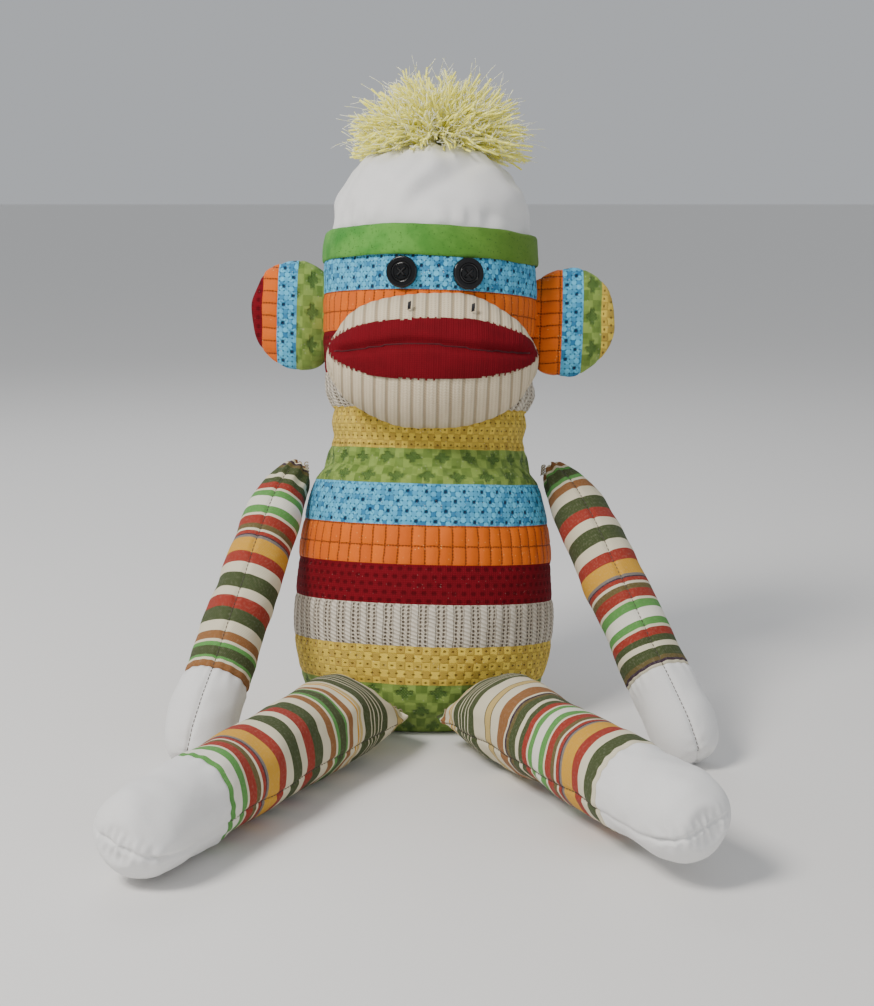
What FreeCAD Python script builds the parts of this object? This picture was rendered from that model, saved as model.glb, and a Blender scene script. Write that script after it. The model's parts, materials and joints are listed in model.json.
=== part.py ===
import FreeCAD, Part
import os

# Stuffed sock-style monkey, seated.  Millimetres, +Z up, +Y towards its back,
# origin on the floor under the middle of the seat.

doc = FreeCAD.newDocument("stuffed_monkey")
os.makedirs("parts", exist_ok=True)

DIMS = {
    # posture of the seated body
    "lean_back": 8.0,
    "side_tilt": 1.5,
    # one tube of knit makes torso, neck and head, and the hat closes its top
    "tube_height": 340.5,
    "torso_width": 154.0,
    "torso_depth": 125.0,
    "knit_wall": 1.5,
    "fill_gap": 0.2,
    # neck: a turn on a flat face, then a nod on a ball-shaped face
    "torso_top": 154.0,
    "neck_pivot": 110.0,
    "neck_ball": 78.1,
    "joint_gap": 0.6,
    # hat
    "hat_seam": 272.0,
    "brim_low": 269.5,
    "brim_high": 287.0,
    "brim_wall": 1.4,
    "pompom_level": 357.0,
    "pompom_across": 112.0,
    "pompom_deep": 98.0,
    "pompom_tall": 58.0,
    "tie_radius": 5.0,
    # muzzle
    "muzzle_level": 212.7,
    "muzzle_out": 45.0,
    "muzzle_width": 124.0,
    "muzzle_depth": 90.0,
    "muzzle_tall": 83.0,
    "face_shift": 1.5,
    "lips_level": 215.9,
    "lips_width": 119.0,
    "lips_tall": 35.0,
    "nostril_level": 239.8,
    "nostril_spacing": 35.5,
    "nostril_shift": 4.0,
    "thread_radius": 0.5,
    # eyes
    "eye_level": 259.8,
    "eye_spacing": 36.0,
    "button_radius": 9.0,
    "button_thick": 3.4,
    "button_groove": 5.2,
    "button_hole": 0.9,
    "hole_offset": 1.9,
    # ears
    "ear_level": 237.0,
    "ear_reach": 42.0,
    "ear_tall": 66.0,
    "ear_thick": 25.0,
    # limbs
    "cotton_wall": 1.2,
    "arm_width": 37.0,
    "arm_length": 198.3,
    "arm_cuff": 146.0,
    "leg_width": 46.5,
    "leg_length": 247.4,
    "leg_cuff": 183.0,
    "stitch_radius": 1.5,
}

sheet = doc.addObject("Spreadsheet::Sheet", "dims")
for row, (alias, value) in enumerate(DIMS.items(), start=1):
    sheet.set("A%d" % row, alias)
    sheet.set("B%d" % row, str(value))
    sheet.setAlias("B%d" % row, alias)
doc.recompute()

REACH = 420.0          # side of the big trimming blocks, wider than the whole toy


def size(alias):
    return float(sheet.get(alias))


def vec(x, y, z):
    return FreeCAD.Vector(x, y, z)


UPRIGHT = FreeCAD.Placement()
# The body frame: its Z runs up the leaning body and its -Y is the way the face looks.
POSTURE = FreeCAD.Placement(vec(0, 0, 0), FreeCAD.Rotation(0, size("side_tilt"), -size("lean_back")))


def at(frame, x, y, z, yaw=0.0, pitch=0.0, roll=0.0):
    """Placement of something given in a frame's own coordinates."""
    return frame.multiply(FreeCAD.Placement(vec(x, y, z), FreeCAD.Rotation(yaw, pitch, roll)))


def add(kind, name, placement, rules):
    """A document object whose sizes are bound to sheet expressions."""
    item = doc.addObject(kind, name)
    for prop, rule in rules.items():
        item.setExpression(prop, rule)
    item.Placement = placement
    return item


def cut(name, base, *tools):
    for index, tool in enumerate(tools):
        last = index == len(tools) - 1
        step = doc.addObject("Part::Cut", name if last else "%s_step%d" % (name, index))
        step.Base = base
        step.Tool = tool
        base = step
    return base


def common(name, base, tool):
    item = doc.addObject("Part::Common", name)
    item.Base = base
    item.Tool = tool
    return item


def fuse(name, pieces):
    item = doc.addObject("Part::MultiFuse", name)
    item.Shapes = pieces
    return item


def slab(name, frame, low, height_rule):
    """A wide block of a frame's space that starts at level low."""
    item = add("Part::Box", name, at(frame, -REACH / 2, -REACH / 2, low), {"Height": height_rule})
    item.Length = REACH
    item.Width = REACH
    return item


def ellipsoid(name, placement, across, deep, tall, shrink):
    """Full sizes across (X), deep (Y) and tall (Z); shrink moves the skin inwards."""
    return add("Part::Ellipsoid", name, placement, {
        "Radius2": "%s / 2 - (%s)" % (across, shrink),
        "Radius3": "%s / 2 - (%s)" % (deep, shrink),
        "Radius1": "%s / 2 - (%s)" % (tall, shrink),
    })


def loft(name, frame, sections):
    """Smooth solid through ellipses: (x, z, rule of the long radius, rule of the short one, long_on_y)."""
    rings = []
    for index, (x, z, long_rule, short_rule, long_on_y) in enumerate(sections):
        ring = doc.addObject("Part::Ellipse", "%s_ring%d" % (name, index))
        ring.setExpression("MajorRadius", long_rule)
        ring.setExpression("MinorRadius", short_rule)
        if long_on_y:
            ring.Placement = at(frame, x, 0, z, 90)
        else:
            ring.Placement = at(frame, x, 0, z)
        rings.append(ring)
    body = doc.addObject("Part::Loft", name)
    body.Sections = rings
    body.Solid = True
    return body


# --- body tube: torso, neck, head and hat ----------------------------------------------------

# (share of tube height, share of torso width, share of torso depth)
TUBE_PROFILE = [
    (-0.026, 0.494, 0.480),
    (0.000, 0.701, 0.704),
    (0.029, 0.844, 0.848),
    (0.073, 0.942, 0.944),
    (0.147, 1.000, 1.000),
    (0.250, 0.994, 0.992),
    (0.338, 0.948, 0.944),
    (0.405, 0.883, 0.880),
    (0.452, 0.805, 0.816),
    (0.488, 0.760, 0.776),
    (0.523, 0.779, 0.816),
    (0.573, 0.818, 0.896),
    (0.631, 0.835, 0.960),
    (0.720, 0.838, 0.992),
    (0.799, 0.825, 0.984),
    (0.852, 0.805, 0.960),
    (0.896, 0.786, 0.936),
    (0.934, 0.727, 0.872),
    (0.963, 0.617, 0.736),
    (0.984, 0.455, 0.544),
    (0.996, 0.260, 0.312),
    (1.000, 0.052, 0.064),
]


def tube(name, shrink, start=0):
    """The whole body form with its skin moved inwards by the shrink rule."""
    rows = []
    for up, wide, deep in TUBE_PROFILE[start:]:
        wide_rule = "dims.torso_width / 2 * %s - (%s)" % (wide, shrink)
        deep_rule = "dims.torso_depth / 2 * %s - (%s)" % (deep, shrink)
        x_is_long = size("torso_width") * wide >= size("torso_depth") * deep
        z = size("tube_height") * up
        if shrink_level(shrink) > 0 and up == 1.0:
            continue
        if x_is_long:
            rows.append((0, z, wide_rule, deep_rule, False))
        else:
            rows.append((0, z, deep_rule, wide_rule, True))
    return loft(name, POSTURE, rows)


def shrink_level(rule):
    """Sign of a shrink rule: outward growth is written with a leading minus."""
    return 0 if rule.strip() in ("0",) or rule.strip().startswith("-") else 1


def build_tube_forms():
    forms = {
        "outer": tube("form_outer", "0"),
        "inner": tube("form_inner", "dims.knit_wall"),
        "fill": tube("form_fill", "dims.knit_wall + dims.fill_gap"),
        "clear": tube("form_clear", "-dims.fill_gap"),
        "proud": tube("form_proud", "-dims.fill_gap - dims.brim_wall"),
    }
    above_floor = slab("above_floor", UPRIGHT, 0.0, "dims.tube_height * 1.2")
    above_wall = slab("above_wall", UPRIGHT, size("knit_wall"), "dims.tube_height * 1.2")
    above_fill = slab("above_fill", UPRIGHT, size("knit_wall") + size("fill_gap"), "dims.tube_height * 1.2")
    solid = common("body_solid", forms["outer"], above_floor)
    hollow = common("body_hollow", forms["inner"], above_wall)
    forms["shell"] = cut("body_shell", solid, hollow)
    forms["stuffing"] = common("body_stuffing", forms["fill"], above_fill)
    return forms


def build_torso(forms):
    low = -size("tube_height") * 0.2
    below_neck = slab("below_neck", POSTURE, low, "dims.torso_top + dims.tube_height * 0.2")
    common("torso_cover", forms["shell"], below_neck)
    common("torso_stuffing", forms["stuffing"], below_neck)
    return ["torso_cover", "torso_stuffing"]


def build_neck(forms):
    ball = add("Part::Sphere", "neck_ball", at(POSTURE, 0, 0, size("neck_pivot")), {"Radius": "dims.neck_ball"})
    above_torso = slab("above_torso", POSTURE, size("torso_top") + size("joint_gap"), "dims.neck_ball")
    dome = common("neck_dome", ball, above_torso)
    common("neck_cover", forms["shell"], dome)
    common("neck_stuffing", forms["stuffing"], dome)
    return ["neck_cover", "neck_stuffing"]


def build_head(forms):
    cup = add("Part::Sphere", "head_cup", at(POSTURE, 0, 0, size("neck_pivot")),
              {"Radius": "dims.neck_ball + dims.joint_gap"})
    forms["cup"] = cup
    start = size("torso_top") - 1.0
    head_zone = slab("head_zone", POSTURE, start, "dims.hat_seam - dims.torso_top + 1 - dims.fill_gap")
    head_rest = slab("head_rest", POSTURE, start, "dims.tube_height")
    hat_zone = slab("hat_zone", POSTURE, size("hat_seam"), "dims.tube_height")
    cut("head_cover", common("head_band", forms["shell"], head_zone), cup)
    cut("head_stuffing", common("head_fill", forms["stuffing"], head_rest), cup)
    common("hat_crown", forms["shell"], hat_zone)
    brim_zone = slab("brim_zone", POSTURE, size("brim_low"), "dims.brim_high - dims.brim_low")
    cut("hat_brim_band", common("brim_ring", forms["proud"], brim_zone), forms["clear"])
    return ["head_cover", "head_stuffing", "hat_crown", "hat_brim_band"]


def build_pompom(forms):
    top = size("tube_height")
    place = at(POSTURE, 0, 0, size("pompom_level"))
    tuft = ellipsoid("pompom_tuft", place, "dims.pompom_across", "dims.pompom_deep", "dims.pompom_tall", "0")
    tie_place = at(POSTURE, 0, 0, top + 0.6)
    add("Part::Cylinder", "pompom_tie", tie_place, {"Radius": "dims.tie_radius", "Height": "dims.tie_radius"})
    room = add("Part::Cylinder", "pompom_tie_room", at(POSTURE, 0, 0, top - 3.0),
               {"Radius": "dims.tie_radius + dims.fill_gap", "Height": "dims.tie_radius + 3.6 + dims.fill_gap"})
    cut("pompom", tuft, forms["clear"], room)
    return ["pompom", "pompom_tie"]


# --- face ------------------------------------------------------------------------------------

def build_muzzle(forms):
    place = at(POSTURE, size("face_shift"), -size("muzzle_out"), size("muzzle_level"))
    sizes = ("dims.muzzle_width", "dims.muzzle_depth", "dims.muzzle_tall")
    skin = ellipsoid("muzzle_skin", place, *sizes, "0")
    inner = ellipsoid("muzzle_inner", place, *sizes, "dims.knit_wall")
    fill = ellipsoid("muzzle_fill", place, *sizes, "dims.knit_wall + dims.fill_gap")
    shell = cut("muzzle_shell", skin, inner, forms["clear"], forms["cup"])
    cut("muzzle_stuffing", fill, forms["clear"], forms["cup"])
    opening = doc.addObject("Part::Ellipse", "lips_outline")
    opening.setExpression("MajorRadius", "dims.lips_width / 2")
    opening.setExpression("MinorRadius", "dims.lips_tall / 2")
    opening.Placement = at(POSTURE, size("face_shift"), -size("muzzle_out"), size("lips_level"), 0, 0, 90)
    prism = doc.addObject("Part::Extrusion", "lips_prism")
    prism.Base = opening
    prism.DirMode = "Custom"
    prism.Dir = POSTURE.Rotation.multVec(vec(0, -1, 0))
    prism.LengthFwd = 200.0
    prism.Solid = True
    common("lips", shell, prism)
    cut("muzzle_cover", shell, prism)
    return ["muzzle_cover", "lips", "muzzle_stuffing"]


def muzzle_front(x, z):
    """Distance in front of the muzzle's centre of its skin at x and z from that centre."""
    flat = (2 * x / size("muzzle_width")) ** 2 + (2 * z / size("muzzle_tall")) ** 2
    return size("muzzle_depth") / 2 * (1 - flat) ** 0.5


def build_mouth_stitch():
    """A running thread that holds the fold between the two lips."""
    path = doc.addObject("Part::Ellipse", "mouth_path")
    path.setExpression("MajorRadius", "dims.muzzle_width / 2 + dims.thread_radius + dims.fill_gap")
    path.setExpression("MinorRadius", "dims.muzzle_depth / 2 + dims.thread_radius + dims.fill_gap")
    path.Angle1 = 205.0
    path.Angle2 = 335.0
    path.Placement = at(POSTURE, size("face_shift"), -size("muzzle_out"), size("muzzle_level"))
    doc.recompute()
    edge = path.Shape.Edges[0]
    start = edge.valueAt(edge.FirstParameter)
    along = edge.tangentAt(edge.FirstParameter)
    ring = doc.addObject("Part::Circle", "mouth_ring")
    ring.setExpression("Radius", "dims.thread_radius")
    ring.Placement = FreeCAD.Placement(start, FreeCAD.Rotation(vec(0, 0, 1), along))
    sweep = doc.addObject("Part::Sweep", "mouth_stitch")
    sweep.Sections = [ring]
    sweep.Spine = (path, ["Edge1"])
    sweep.Solid = True
    return ["mouth_stitch"]


def build_nostrils():
    names = []
    for side, sign in (("left", -1), ("right", 1)):
        x = size("nostril_shift") + sign * size("nostril_spacing") / 2
        z = size("nostril_level") - size("muzzle_level")
        y = -size("muzzle_out") - muzzle_front(x, z) - 1.9
        name = "nostril_knot_" + side
        knot = add("Part::Ellipsoid", name, at(POSTURE, size("face_shift") + x, y, z + size("muzzle_level")), {
            "Radius2": "dims.thread_radius * 1.8",
            "Radius3": "dims.thread_radius * 1.6",
            "Radius1": "dims.thread_radius * 3.4",
        })
        names.append(knot.Name)
    return names


def head_front(x, z):
    """How far in front of the body axis the head's skin is at x and level z, and its slant there."""
    share = z / size("tube_height")
    for low, high in zip(TUBE_PROFILE, TUBE_PROFILE[1:]):
        if low[0] <= share <= high[0]:
            part = (share - low[0]) / (high[0] - low[0])
            wide = size("torso_width") / 2 * (low[1] + part * (high[1] - low[1]))
            deep = size("torso_depth") / 2 * (low[2] + part * (high[2] - low[2]))
    front = deep * (1 - (x / wide) ** 2) ** 0.5
    normal = FreeCAD.Vector(x / wide ** 2, -front / deep ** 2, 0).normalize()
    return front, normal


def build_eyes():
    names = []
    hole_spots = [(1, 1), (-1, 1), (-1, -1), (1, -1)]
    for side, sign in (("left", -1), ("right", 1)):
        x = size("face_shift") + sign * size("eye_spacing") / 2
        front, normal = head_front(x, size("eye_level"))
        turn = FreeCAD.Rotation(vec(-normal.y, normal.x, 0), vec(0, 0, 1), normal, "ZYX")
        seat = POSTURE.multiply(FreeCAD.Placement(vec(x, -front, size("eye_level")) + normal * 0.9, turn))
        blank = add("Part::Cylinder", "button_blank_" + side, seat,
                    {"Radius": "dims.button_radius", "Height": "dims.button_thick"})
        groove = add("Part::Torus", "button_groove_" + side, at(seat, 0, 0, size("button_thick")),
                     {"Radius1": "dims.button_groove", "Radius2": "dims.button_thick * 0.25"})
        doc.recompute()
        rounded = doc.addObject("Part::Fillet", "button_rounded_" + side)
        rounded.Base = blank
        radius = size("button_thick") * 0.3
        circles = [i + 1 for i, e in enumerate(blank.Shape.Edges) if e.Curve.TypeId == "Part::GeomCircle"]
        rounded.Edges = [(number, radius, radius) for number in circles]
        holes = []
        posts = []
        for number, (hx, hy) in enumerate(hole_spots):
            px, py = hx * size("hole_offset"), hy * size("hole_offset")
            holes.append(add("Part::Cylinder", "button_hole_%s%d" % (side, number), at(seat, px, py, -1),
                             {"Radius": "dims.button_hole", "Height": "dims.button_thick + 2"}))
            posts.append(add("Part::Cylinder", "eye_post_%s%d" % (side, number), at(seat, px, py, -0.4),
                             {"Radius": "dims.thread_radius", "Height": "dims.button_thick + 1"}))
        cut("eye_button_" + side, rounded, groove, fuse("button_holes_" + side, holes))
        for number, yaw in enumerate((45, -45)):
            reach = size("hole_offset") * 2 ** 0.5
            slant = yaw * 3.14159265358979 / 180
            bar_place = at(seat, -reach * FreeCAD.Vector(1, 0, 0).dot(
                FreeCAD.Rotation(yaw, 0, 0).multVec(vec(1, 0, 0))), -reach * (1 if yaw > 0 else -1) * 0.70710678,
                size("button_thick") + size("thread_radius") + 0.1, yaw, 90, 0)
            posts.append(add("Part::Cylinder", "eye_bar_%s%d" % (side, number), bar_place,
                             {"Radius": "dims.thread_radius", "Height": "dims.hole_offset * 2 * sqrt(2)"}))
        fuse("eye_thread_" + side, posts)
        names += ["eye_button_" + side, "eye_thread_" + side]
    return names


def build_ears(forms):
    names = []
    for side, sign in (("left", -1), ("right", 1)):
        head_side = size("torso_width") / 2 * 0.838
        centre = head_side + size("ear_reach") - size("ear_reach") * 0.64
        across = "dims.ear_reach * 1.28"
        place = at(POSTURE, sign * centre, 2.0, size("ear_level"), 90 - 90 * sign)
        sizes = (across, "dims.ear_thick", "dims.ear_tall")
        skin = ellipsoid("ear_skin_" + side, place, *sizes, "0")
        inner = ellipsoid("ear_inner_" + side, place, *sizes, "dims.knit_wall")
        fill = ellipsoid("ear_fill_" + side, place, *sizes, "dims.knit_wall + dims.fill_gap")
        inward = add("Part::Box", "ear_root_" + side, POSTURE, {"Height": "dims.tube_height"})
        inward.Length = REACH / 2
        inward.Width = REACH
        edge = head_side + size("fill_gap") * 2
        inward.Placement = at(POSTURE, edge - REACH / 2 if sign > 0 else -edge, -REACH / 2, 0)
        cut("ear_cover_" + side, skin, inner, inward)
        cut("ear_stuffing_" + side, fill, inward)
        names += ["ear_cover_" + side, "ear_stuffing_" + side]
    return names


# --- limbs -----------------------------------------------------------------------------------

# (offset towards the body, share of length, share of width, share of thickness)
ARM_PROFILE = [
    (10.0, -0.005, 0.649, 0.120),
    (7.0, 0.025, 0.800, 0.360),
    (3.6, 0.066, 0.900, 0.620),
    (1.0, 0.126, 0.965, 0.850),
    (0.0, 0.212, 0.985, 0.965),
    (0.0, 0.454, 1.005, 1.000),
    (0.0, 0.736, 1.054, 1.054),
    (0.0, 0.832, 1.097, 1.081),
    (0.0, 0.898, 1.092, 1.081),
    (0.0, 0.943, 0.973, 0.962),
    (0.0, 0.976, 0.735, 0.724),
    (0.0, 0.993, 0.432, 0.430),
    (0.0, 1.000, 0.135, 0.134),
]
LEG_PROFILE = [
    (0.0, 0.000, 1.075, 0.108),
    (0.0, 0.032, 1.140, 0.387),
    (0.0, 0.081, 1.161, 0.667),
    (0.0, 0.154, 1.153, 0.903),
    (0.0, 0.243, 1.110, 1.024),
    (0.0, 0.404, 1.058, 1.024),
    (0.0, 0.566, 1.028, 1.011),
    (0.0, 0.740, 1.002, 0.989),
    (0.0, 0.829, 0.981, 0.972),
    (0.0, 0.910, 0.963, 0.955),
    (0.0, 0.954, 0.852, 0.843),
    (0.0, 0.982, 0.624, 0.619),
    (0.0, 0.996, 0.344, 0.342),
    (0.0, 1.000, 0.108, 0.107),
]


def limb_form(name, frame, kind, profile, shrink, inner):
    rows = profile[1:-1] if inner else profile
    sections = []
    for x, up, wide, thick in rows:
        sections.append((
            x, size(kind + "_length") * up,
            "dims.%s_width / 2 * %s - (%s)" % (kind, wide, shrink),
            "dims.%s_width / 2 * %s - (%s)" % (kind, thick, shrink),
            True,
        ))
    return loft(name, frame, sections)


def limb_thread(name, frame, kind, profile, first, side):
    """A thin sewing thread along one side of the limb, just proud of its cover."""
    sections = []
    for x, up, wide, thick in profile[first:-4]:
        out = size(kind + "_width") / 2 * wide + size("thread_radius") + size("fill_gap") * 2
        sections.append((x, side * out, size(kind + "_length") * up))
    rings = []
    for index, (x, y, z) in enumerate(sections):
        ring = doc.addObject("Part::Circle", "%s_ring%d" % (name, index))
        ring.setExpression("Radius", "dims.thread_radius")
        ring.Placement = at(frame, x, y, z)
        rings.append(ring)
    thread = doc.addObject("Part::Loft", name)
    thread.Sections = rings
    thread.Solid = True
    thread.Ruled = True


def limb_frame(root, tip, across):
    """Frame at root with Z towards tip and X as near to across as it can be."""
    along = tip - root
    return FreeCAD.Placement(root, FreeCAD.Rotation(across, vec(0, 0, 0), along, "ZXY"))


def build_limb(kind, side, frame, profile, names, thread_side, stitch_place, stitch_length):
    sleeve, end, filling, thread, stitch = names
    tag = "%s_%s" % (side, kind)
    outer = limb_form(tag + "_outer", frame, kind, profile, "0", False)
    inner = limb_form(tag + "_inner", frame, kind, profile, "dims.cotton_wall", True)
    fill = limb_form(tag + "_fill", frame, kind, profile, "dims.cotton_wall + dims.fill_gap", True)
    shell = cut(tag + "_shell", outer, inner)
    before_cuff = slab(tag + "_before", frame, -60.0, "dims.%s_cuff + 60 - dims.fill_gap" % kind)
    after_cuff = slab(tag + "_after", frame, size(kind + "_cuff"), "dims.%s_length" % kind)
    common(sleeve, shell, before_cuff)
    common(end, shell, after_cuff)
    fill.Label = filling
    limb_thread(thread, frame, kind, profile, 4, thread_side)
    bar = add("Part::Cylinder", stitch, stitch_place, {"Radius": "dims.stitch_radius"})
    bar.Height = stitch_length
    return list(names[:2]) + [fill.Name] + list(names[3:])


ARM_ROOTS = {"left": vec(-79.3, 18, 147), "right": vec(84, 18, 147)}
HAND_CENTRES = {"left": vec(-120, -99.2, 22.5), "right": vec(143.4, -88.9, 23.9)}
LEG_ROOTS = {"left": vec(-28, -57, 27), "right": vec(31, -57, 27)}
FOOT_CENTRES = {"left": vec(-124, -260, 22.9), "right": vec(119.6, -261, 32)}
STITCH_LENGTH = {"arm": 12.0, "leg": 30.0}


def build_arms():
    names = []
    for side, sign in (("left", -1), ("right", 1)):
        frame = limb_frame(ARM_ROOTS[side], HAND_CENTRES[side], vec(-sign, 0, 0))
        length = STITCH_LENGTH["arm"]
        stitch_place = at(frame, 10.5, length / 2, -3.1, 0, 0, 90)
        labels = ("sleeve_" + side, "hand_cover_" + side, "arm_stuffing_" + side,
                  "arm_seam_thread_" + side, "shoulder_stitch_" + side)
        names += build_limb("arm", side, frame, ARM_PROFILE, labels, -sign, stitch_place, length)
    return names


def build_legs():
    names = []
    for side, sign in (("left", -1), ("right", 1)):
        across = vec(sign * 0.313, 0.145, -0.936)
        frame = limb_frame(LEG_ROOTS[side], FOOT_CENTRES[side], across)
        length = STITCH_LENGTH["leg"]
        stitch_place = at(frame, 0, length / 2, -2.4, 0, 0, 90)
        labels = ("leg_sleeve_" + side, "foot_cover_" + side, "leg_stuffing_" + side,
                  "leg_seam_thread_" + side, "hip_stitch_" + side)
        names += build_limb("leg", side, frame, LEG_PROFILE, labels, -sign, stitch_place, length)
    return names


def export(names):
    for name in names:
        item = doc.getObject(name)
        label = item.Label
        state = [word for word in item.State if word in ("Invalid", "Error")]
        shape = item.Shape
        if state or shape.isNull() or not shape.isValid():
            raise RuntimeError("bad sub-part %s: %s" % (label, item.State))
        solids = shape.Solids
        print("%-24s solids %d volume %.0f" % (label, len(solids), shape.Volume))
        shape.exportStep("parts/%s.step" % label)


forms = build_tube_forms()
nodes = build_torso(forms) + build_neck(forms) + build_head(forms) + build_pompom(forms)
nodes += build_muzzle(forms) + build_mouth_stitch() + build_nostrils() + build_eyes() + build_ears(forms)
nodes += build_arms() + build_legs()
doc.recompute()
export(nodes)
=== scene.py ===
import json
import math
import bmesh
import bpy
import numpy as np
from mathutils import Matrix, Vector


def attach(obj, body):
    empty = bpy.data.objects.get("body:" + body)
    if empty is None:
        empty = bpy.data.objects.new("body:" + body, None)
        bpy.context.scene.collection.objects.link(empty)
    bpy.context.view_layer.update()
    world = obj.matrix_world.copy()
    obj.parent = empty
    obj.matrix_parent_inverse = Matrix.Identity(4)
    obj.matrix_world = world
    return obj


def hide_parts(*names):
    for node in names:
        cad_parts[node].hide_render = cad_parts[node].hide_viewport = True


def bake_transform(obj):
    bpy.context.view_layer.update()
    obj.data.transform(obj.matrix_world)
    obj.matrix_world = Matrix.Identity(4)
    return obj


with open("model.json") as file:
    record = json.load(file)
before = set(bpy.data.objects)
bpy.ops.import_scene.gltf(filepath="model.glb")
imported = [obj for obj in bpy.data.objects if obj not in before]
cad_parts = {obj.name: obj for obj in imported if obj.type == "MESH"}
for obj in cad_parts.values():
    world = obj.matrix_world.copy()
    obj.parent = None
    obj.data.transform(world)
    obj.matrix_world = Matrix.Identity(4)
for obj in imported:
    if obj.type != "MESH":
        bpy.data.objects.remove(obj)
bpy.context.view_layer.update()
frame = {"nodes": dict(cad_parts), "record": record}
MM = 0.001
TAU = 2 * math.pi

# ---------------------------------------------------------------- frames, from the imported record

JOINTS = {j["name"]: j for j in frame["record"]["behaviour"]["joints"]}


def unit(v):
    v = np.asarray(v, float)
    return v / np.linalg.norm(v)


BODY_UP = unit(JOINTS["neck_turn"]["axis"])
BODY_X = unit(JOINTS["neck_nod"]["axis"])
BODY_BACK = np.cross(BODY_UP, BODY_X)
BODY = np.column_stack([BODY_X, BODY_BACK, BODY_UP])
ORIGIN = np.zeros(3)


def node_points(name):
    """A CAD node's vertices in millimetres."""
    mesh = frame["nodes"][name].data
    co = np.empty(len(mesh.vertices) * 3)
    mesh.vertices.foreach_get("co", co)
    return co.reshape(-1, 3) / MM


def body_span(name):
    """(low, high) corner of a CAD node in the body frame, in millimetres."""
    local = node_points(name) @ BODY
    return local.min(axis=0), local.max(axis=0)


def to_world(local, basis=BODY, origin=ORIGIN):
    return local @ basis.T + origin


# ---------------------------------------------------------------- grids: rows x columns of points

def smooth(a, b, x):
    t = np.clip((x - a) / (b - a), 0, 1)
    return t * t * (3 - 2 * t)


def rows_from_profile(profile, levels):
    """Smooth interpolation of the columns of a profile at the given levels (first column)."""
    table = np.array(profile, float)
    x = table[:, 0]
    out = [levels]
    for k in range(1, table.shape[1]):
        y = table[:, k]
        slope = np.gradient(y, x)
        i = np.clip(np.searchsorted(x, levels) - 1, 0, len(x) - 2)
        h = x[i + 1] - x[i]
        t = np.clip((levels - x[i]) / h, 0, 1)
        out.append((2 * t**3 - 3 * t**2 + 1) * y[i] + (t**3 - 2 * t**2 + t) * h * slope[i]
                   + (-2 * t**3 + 3 * t**2) * y[i + 1] + (t**3 - t**2) * h * slope[i + 1])
    return np.column_stack(out)


def catmull(values, at, periodic):
    """Cubic interpolation of values (n, ...) at fractional positions along axis 0."""
    n = len(values)
    i = np.floor(at).astype(int)
    t = (at - i).reshape((-1,) + (1,) * (values.ndim - 1))

    def pick(k):
        return values[k % n] if periodic else values[np.clip(k, 0, n - 1)]

    a, b, c, d = pick(i - 1), pick(i), pick(i + 1), pick(i + 2)
    return 0.5 * (2 * b + (c - a) * t + (2 * a - 5 * b + 4 * c - d) * t**2 + (3 * b - a - 3 * c + d) * t**3)


def refine(grid, rows, cols):
    """The grid resampled to rows x cols; columns go round."""
    grid = catmull(grid, np.linspace(0, len(grid) - 1, rows), False)
    return np.swapaxes(catmull(np.swapaxes(grid, 0, 1), np.arange(cols) * grid.shape[1] / cols, True), 0, 1)


def grid_normals(grid):
    du = np.roll(grid, -1, axis=1) - np.roll(grid, 1, axis=1)
    dv = np.gradient(grid, axis=0)
    n = np.cross(du, dv)
    return n / np.maximum(np.linalg.norm(n, axis=2, keepdims=True), 1e-9)


def run_along(points):
    """Distance along a line of points, from 0 at the first."""
    return np.concatenate([[0], np.cumsum(np.linalg.norm(np.diff(points, axis=0), axis=1))])


def tube_faces(rows, cols):
    """Quads of a closed tube, and at each end a fan round one extra point."""
    faces = []
    for r in range(rows - 1):
        for c in range(cols):
            d = (c + 1) % cols
            faces.append((r * cols + c, r * cols + d, (r + 1) * cols + d, (r + 1) * cols + c))
    extra, last = rows * cols, (rows - 1) * cols
    faces += [(extra, (c + 1) % cols, c) for c in range(cols)]
    faces += [(extra + 1, last + c, last + (c + 1) % cols) for c in range(cols)]
    return faces


CLOTH_STEPS = 20
CLOTH_PRESSURE = 4.0
CLOTH_SLACK = 0.015    # how much the cloth may grow, as a share of its size
CLOTH_STIFFNESS = 12.0


def inflate(grid, name, pinned, cap=2.5):
    """Cloth under air pressure: the grid's points after it, moved by at most cap millimetres."""
    rows, cols, _ = grid.shape
    ends = [grid[0].mean(axis=0), grid[-1].mean(axis=0)]
    points = np.vstack([grid.reshape(-1, 3), ends]) * MM
    mesh = bpy.data.meshes.new(name)
    mesh.from_pydata(points.tolist(), [], tube_faces(rows, cols))
    obj = bpy.data.objects.new(name, mesh)
    bpy.context.scene.collection.objects.link(obj)
    group = obj.vertex_groups.new(name="held")
    held = np.append(pinned.reshape(-1), [True, True])
    group.add(np.nonzero(held)[0].tolist(), 1.0, "REPLACE")
    cloth = obj.modifiers.new("air", "CLOTH")
    s = cloth.settings
    s.quality = 5
    s.mass = 0.15
    s.tension_stiffness = s.compression_stiffness = CLOTH_STIFFNESS
    s.shear_stiffness = 4.0
    s.bending_stiffness = 0.6
    s.use_pressure = True
    s.uniform_pressure_force = CLOTH_PRESSURE
    s.vertex_group_mass = "held"
    s.shrink_min = -CLOTH_SLACK
    s.effector_weights.gravity = 0
    cloth.collision_settings.use_collision = False
    for step in range(1, CLOTH_STEPS + 1):
        bpy.context.scene.frame_set(step)
    depsgraph = bpy.context.evaluated_depsgraph_get()
    shown = obj.evaluated_get(depsgraph)
    co = np.empty(len(shown.data.vertices) * 3)
    shown.data.vertices.foreach_get("co", co)
    bpy.data.objects.remove(obj)
    bpy.data.meshes.remove(mesh)
    bpy.context.scene.frame_set(1)
    moved = co.reshape(-1, 3)[: rows * cols].reshape(rows, cols, 3) / MM - grid
    far = np.linalg.norm(moved, axis=2, keepdims=True)
    return grid + moved * np.minimum(1, cap / np.maximum(far, 1e-9))


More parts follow.
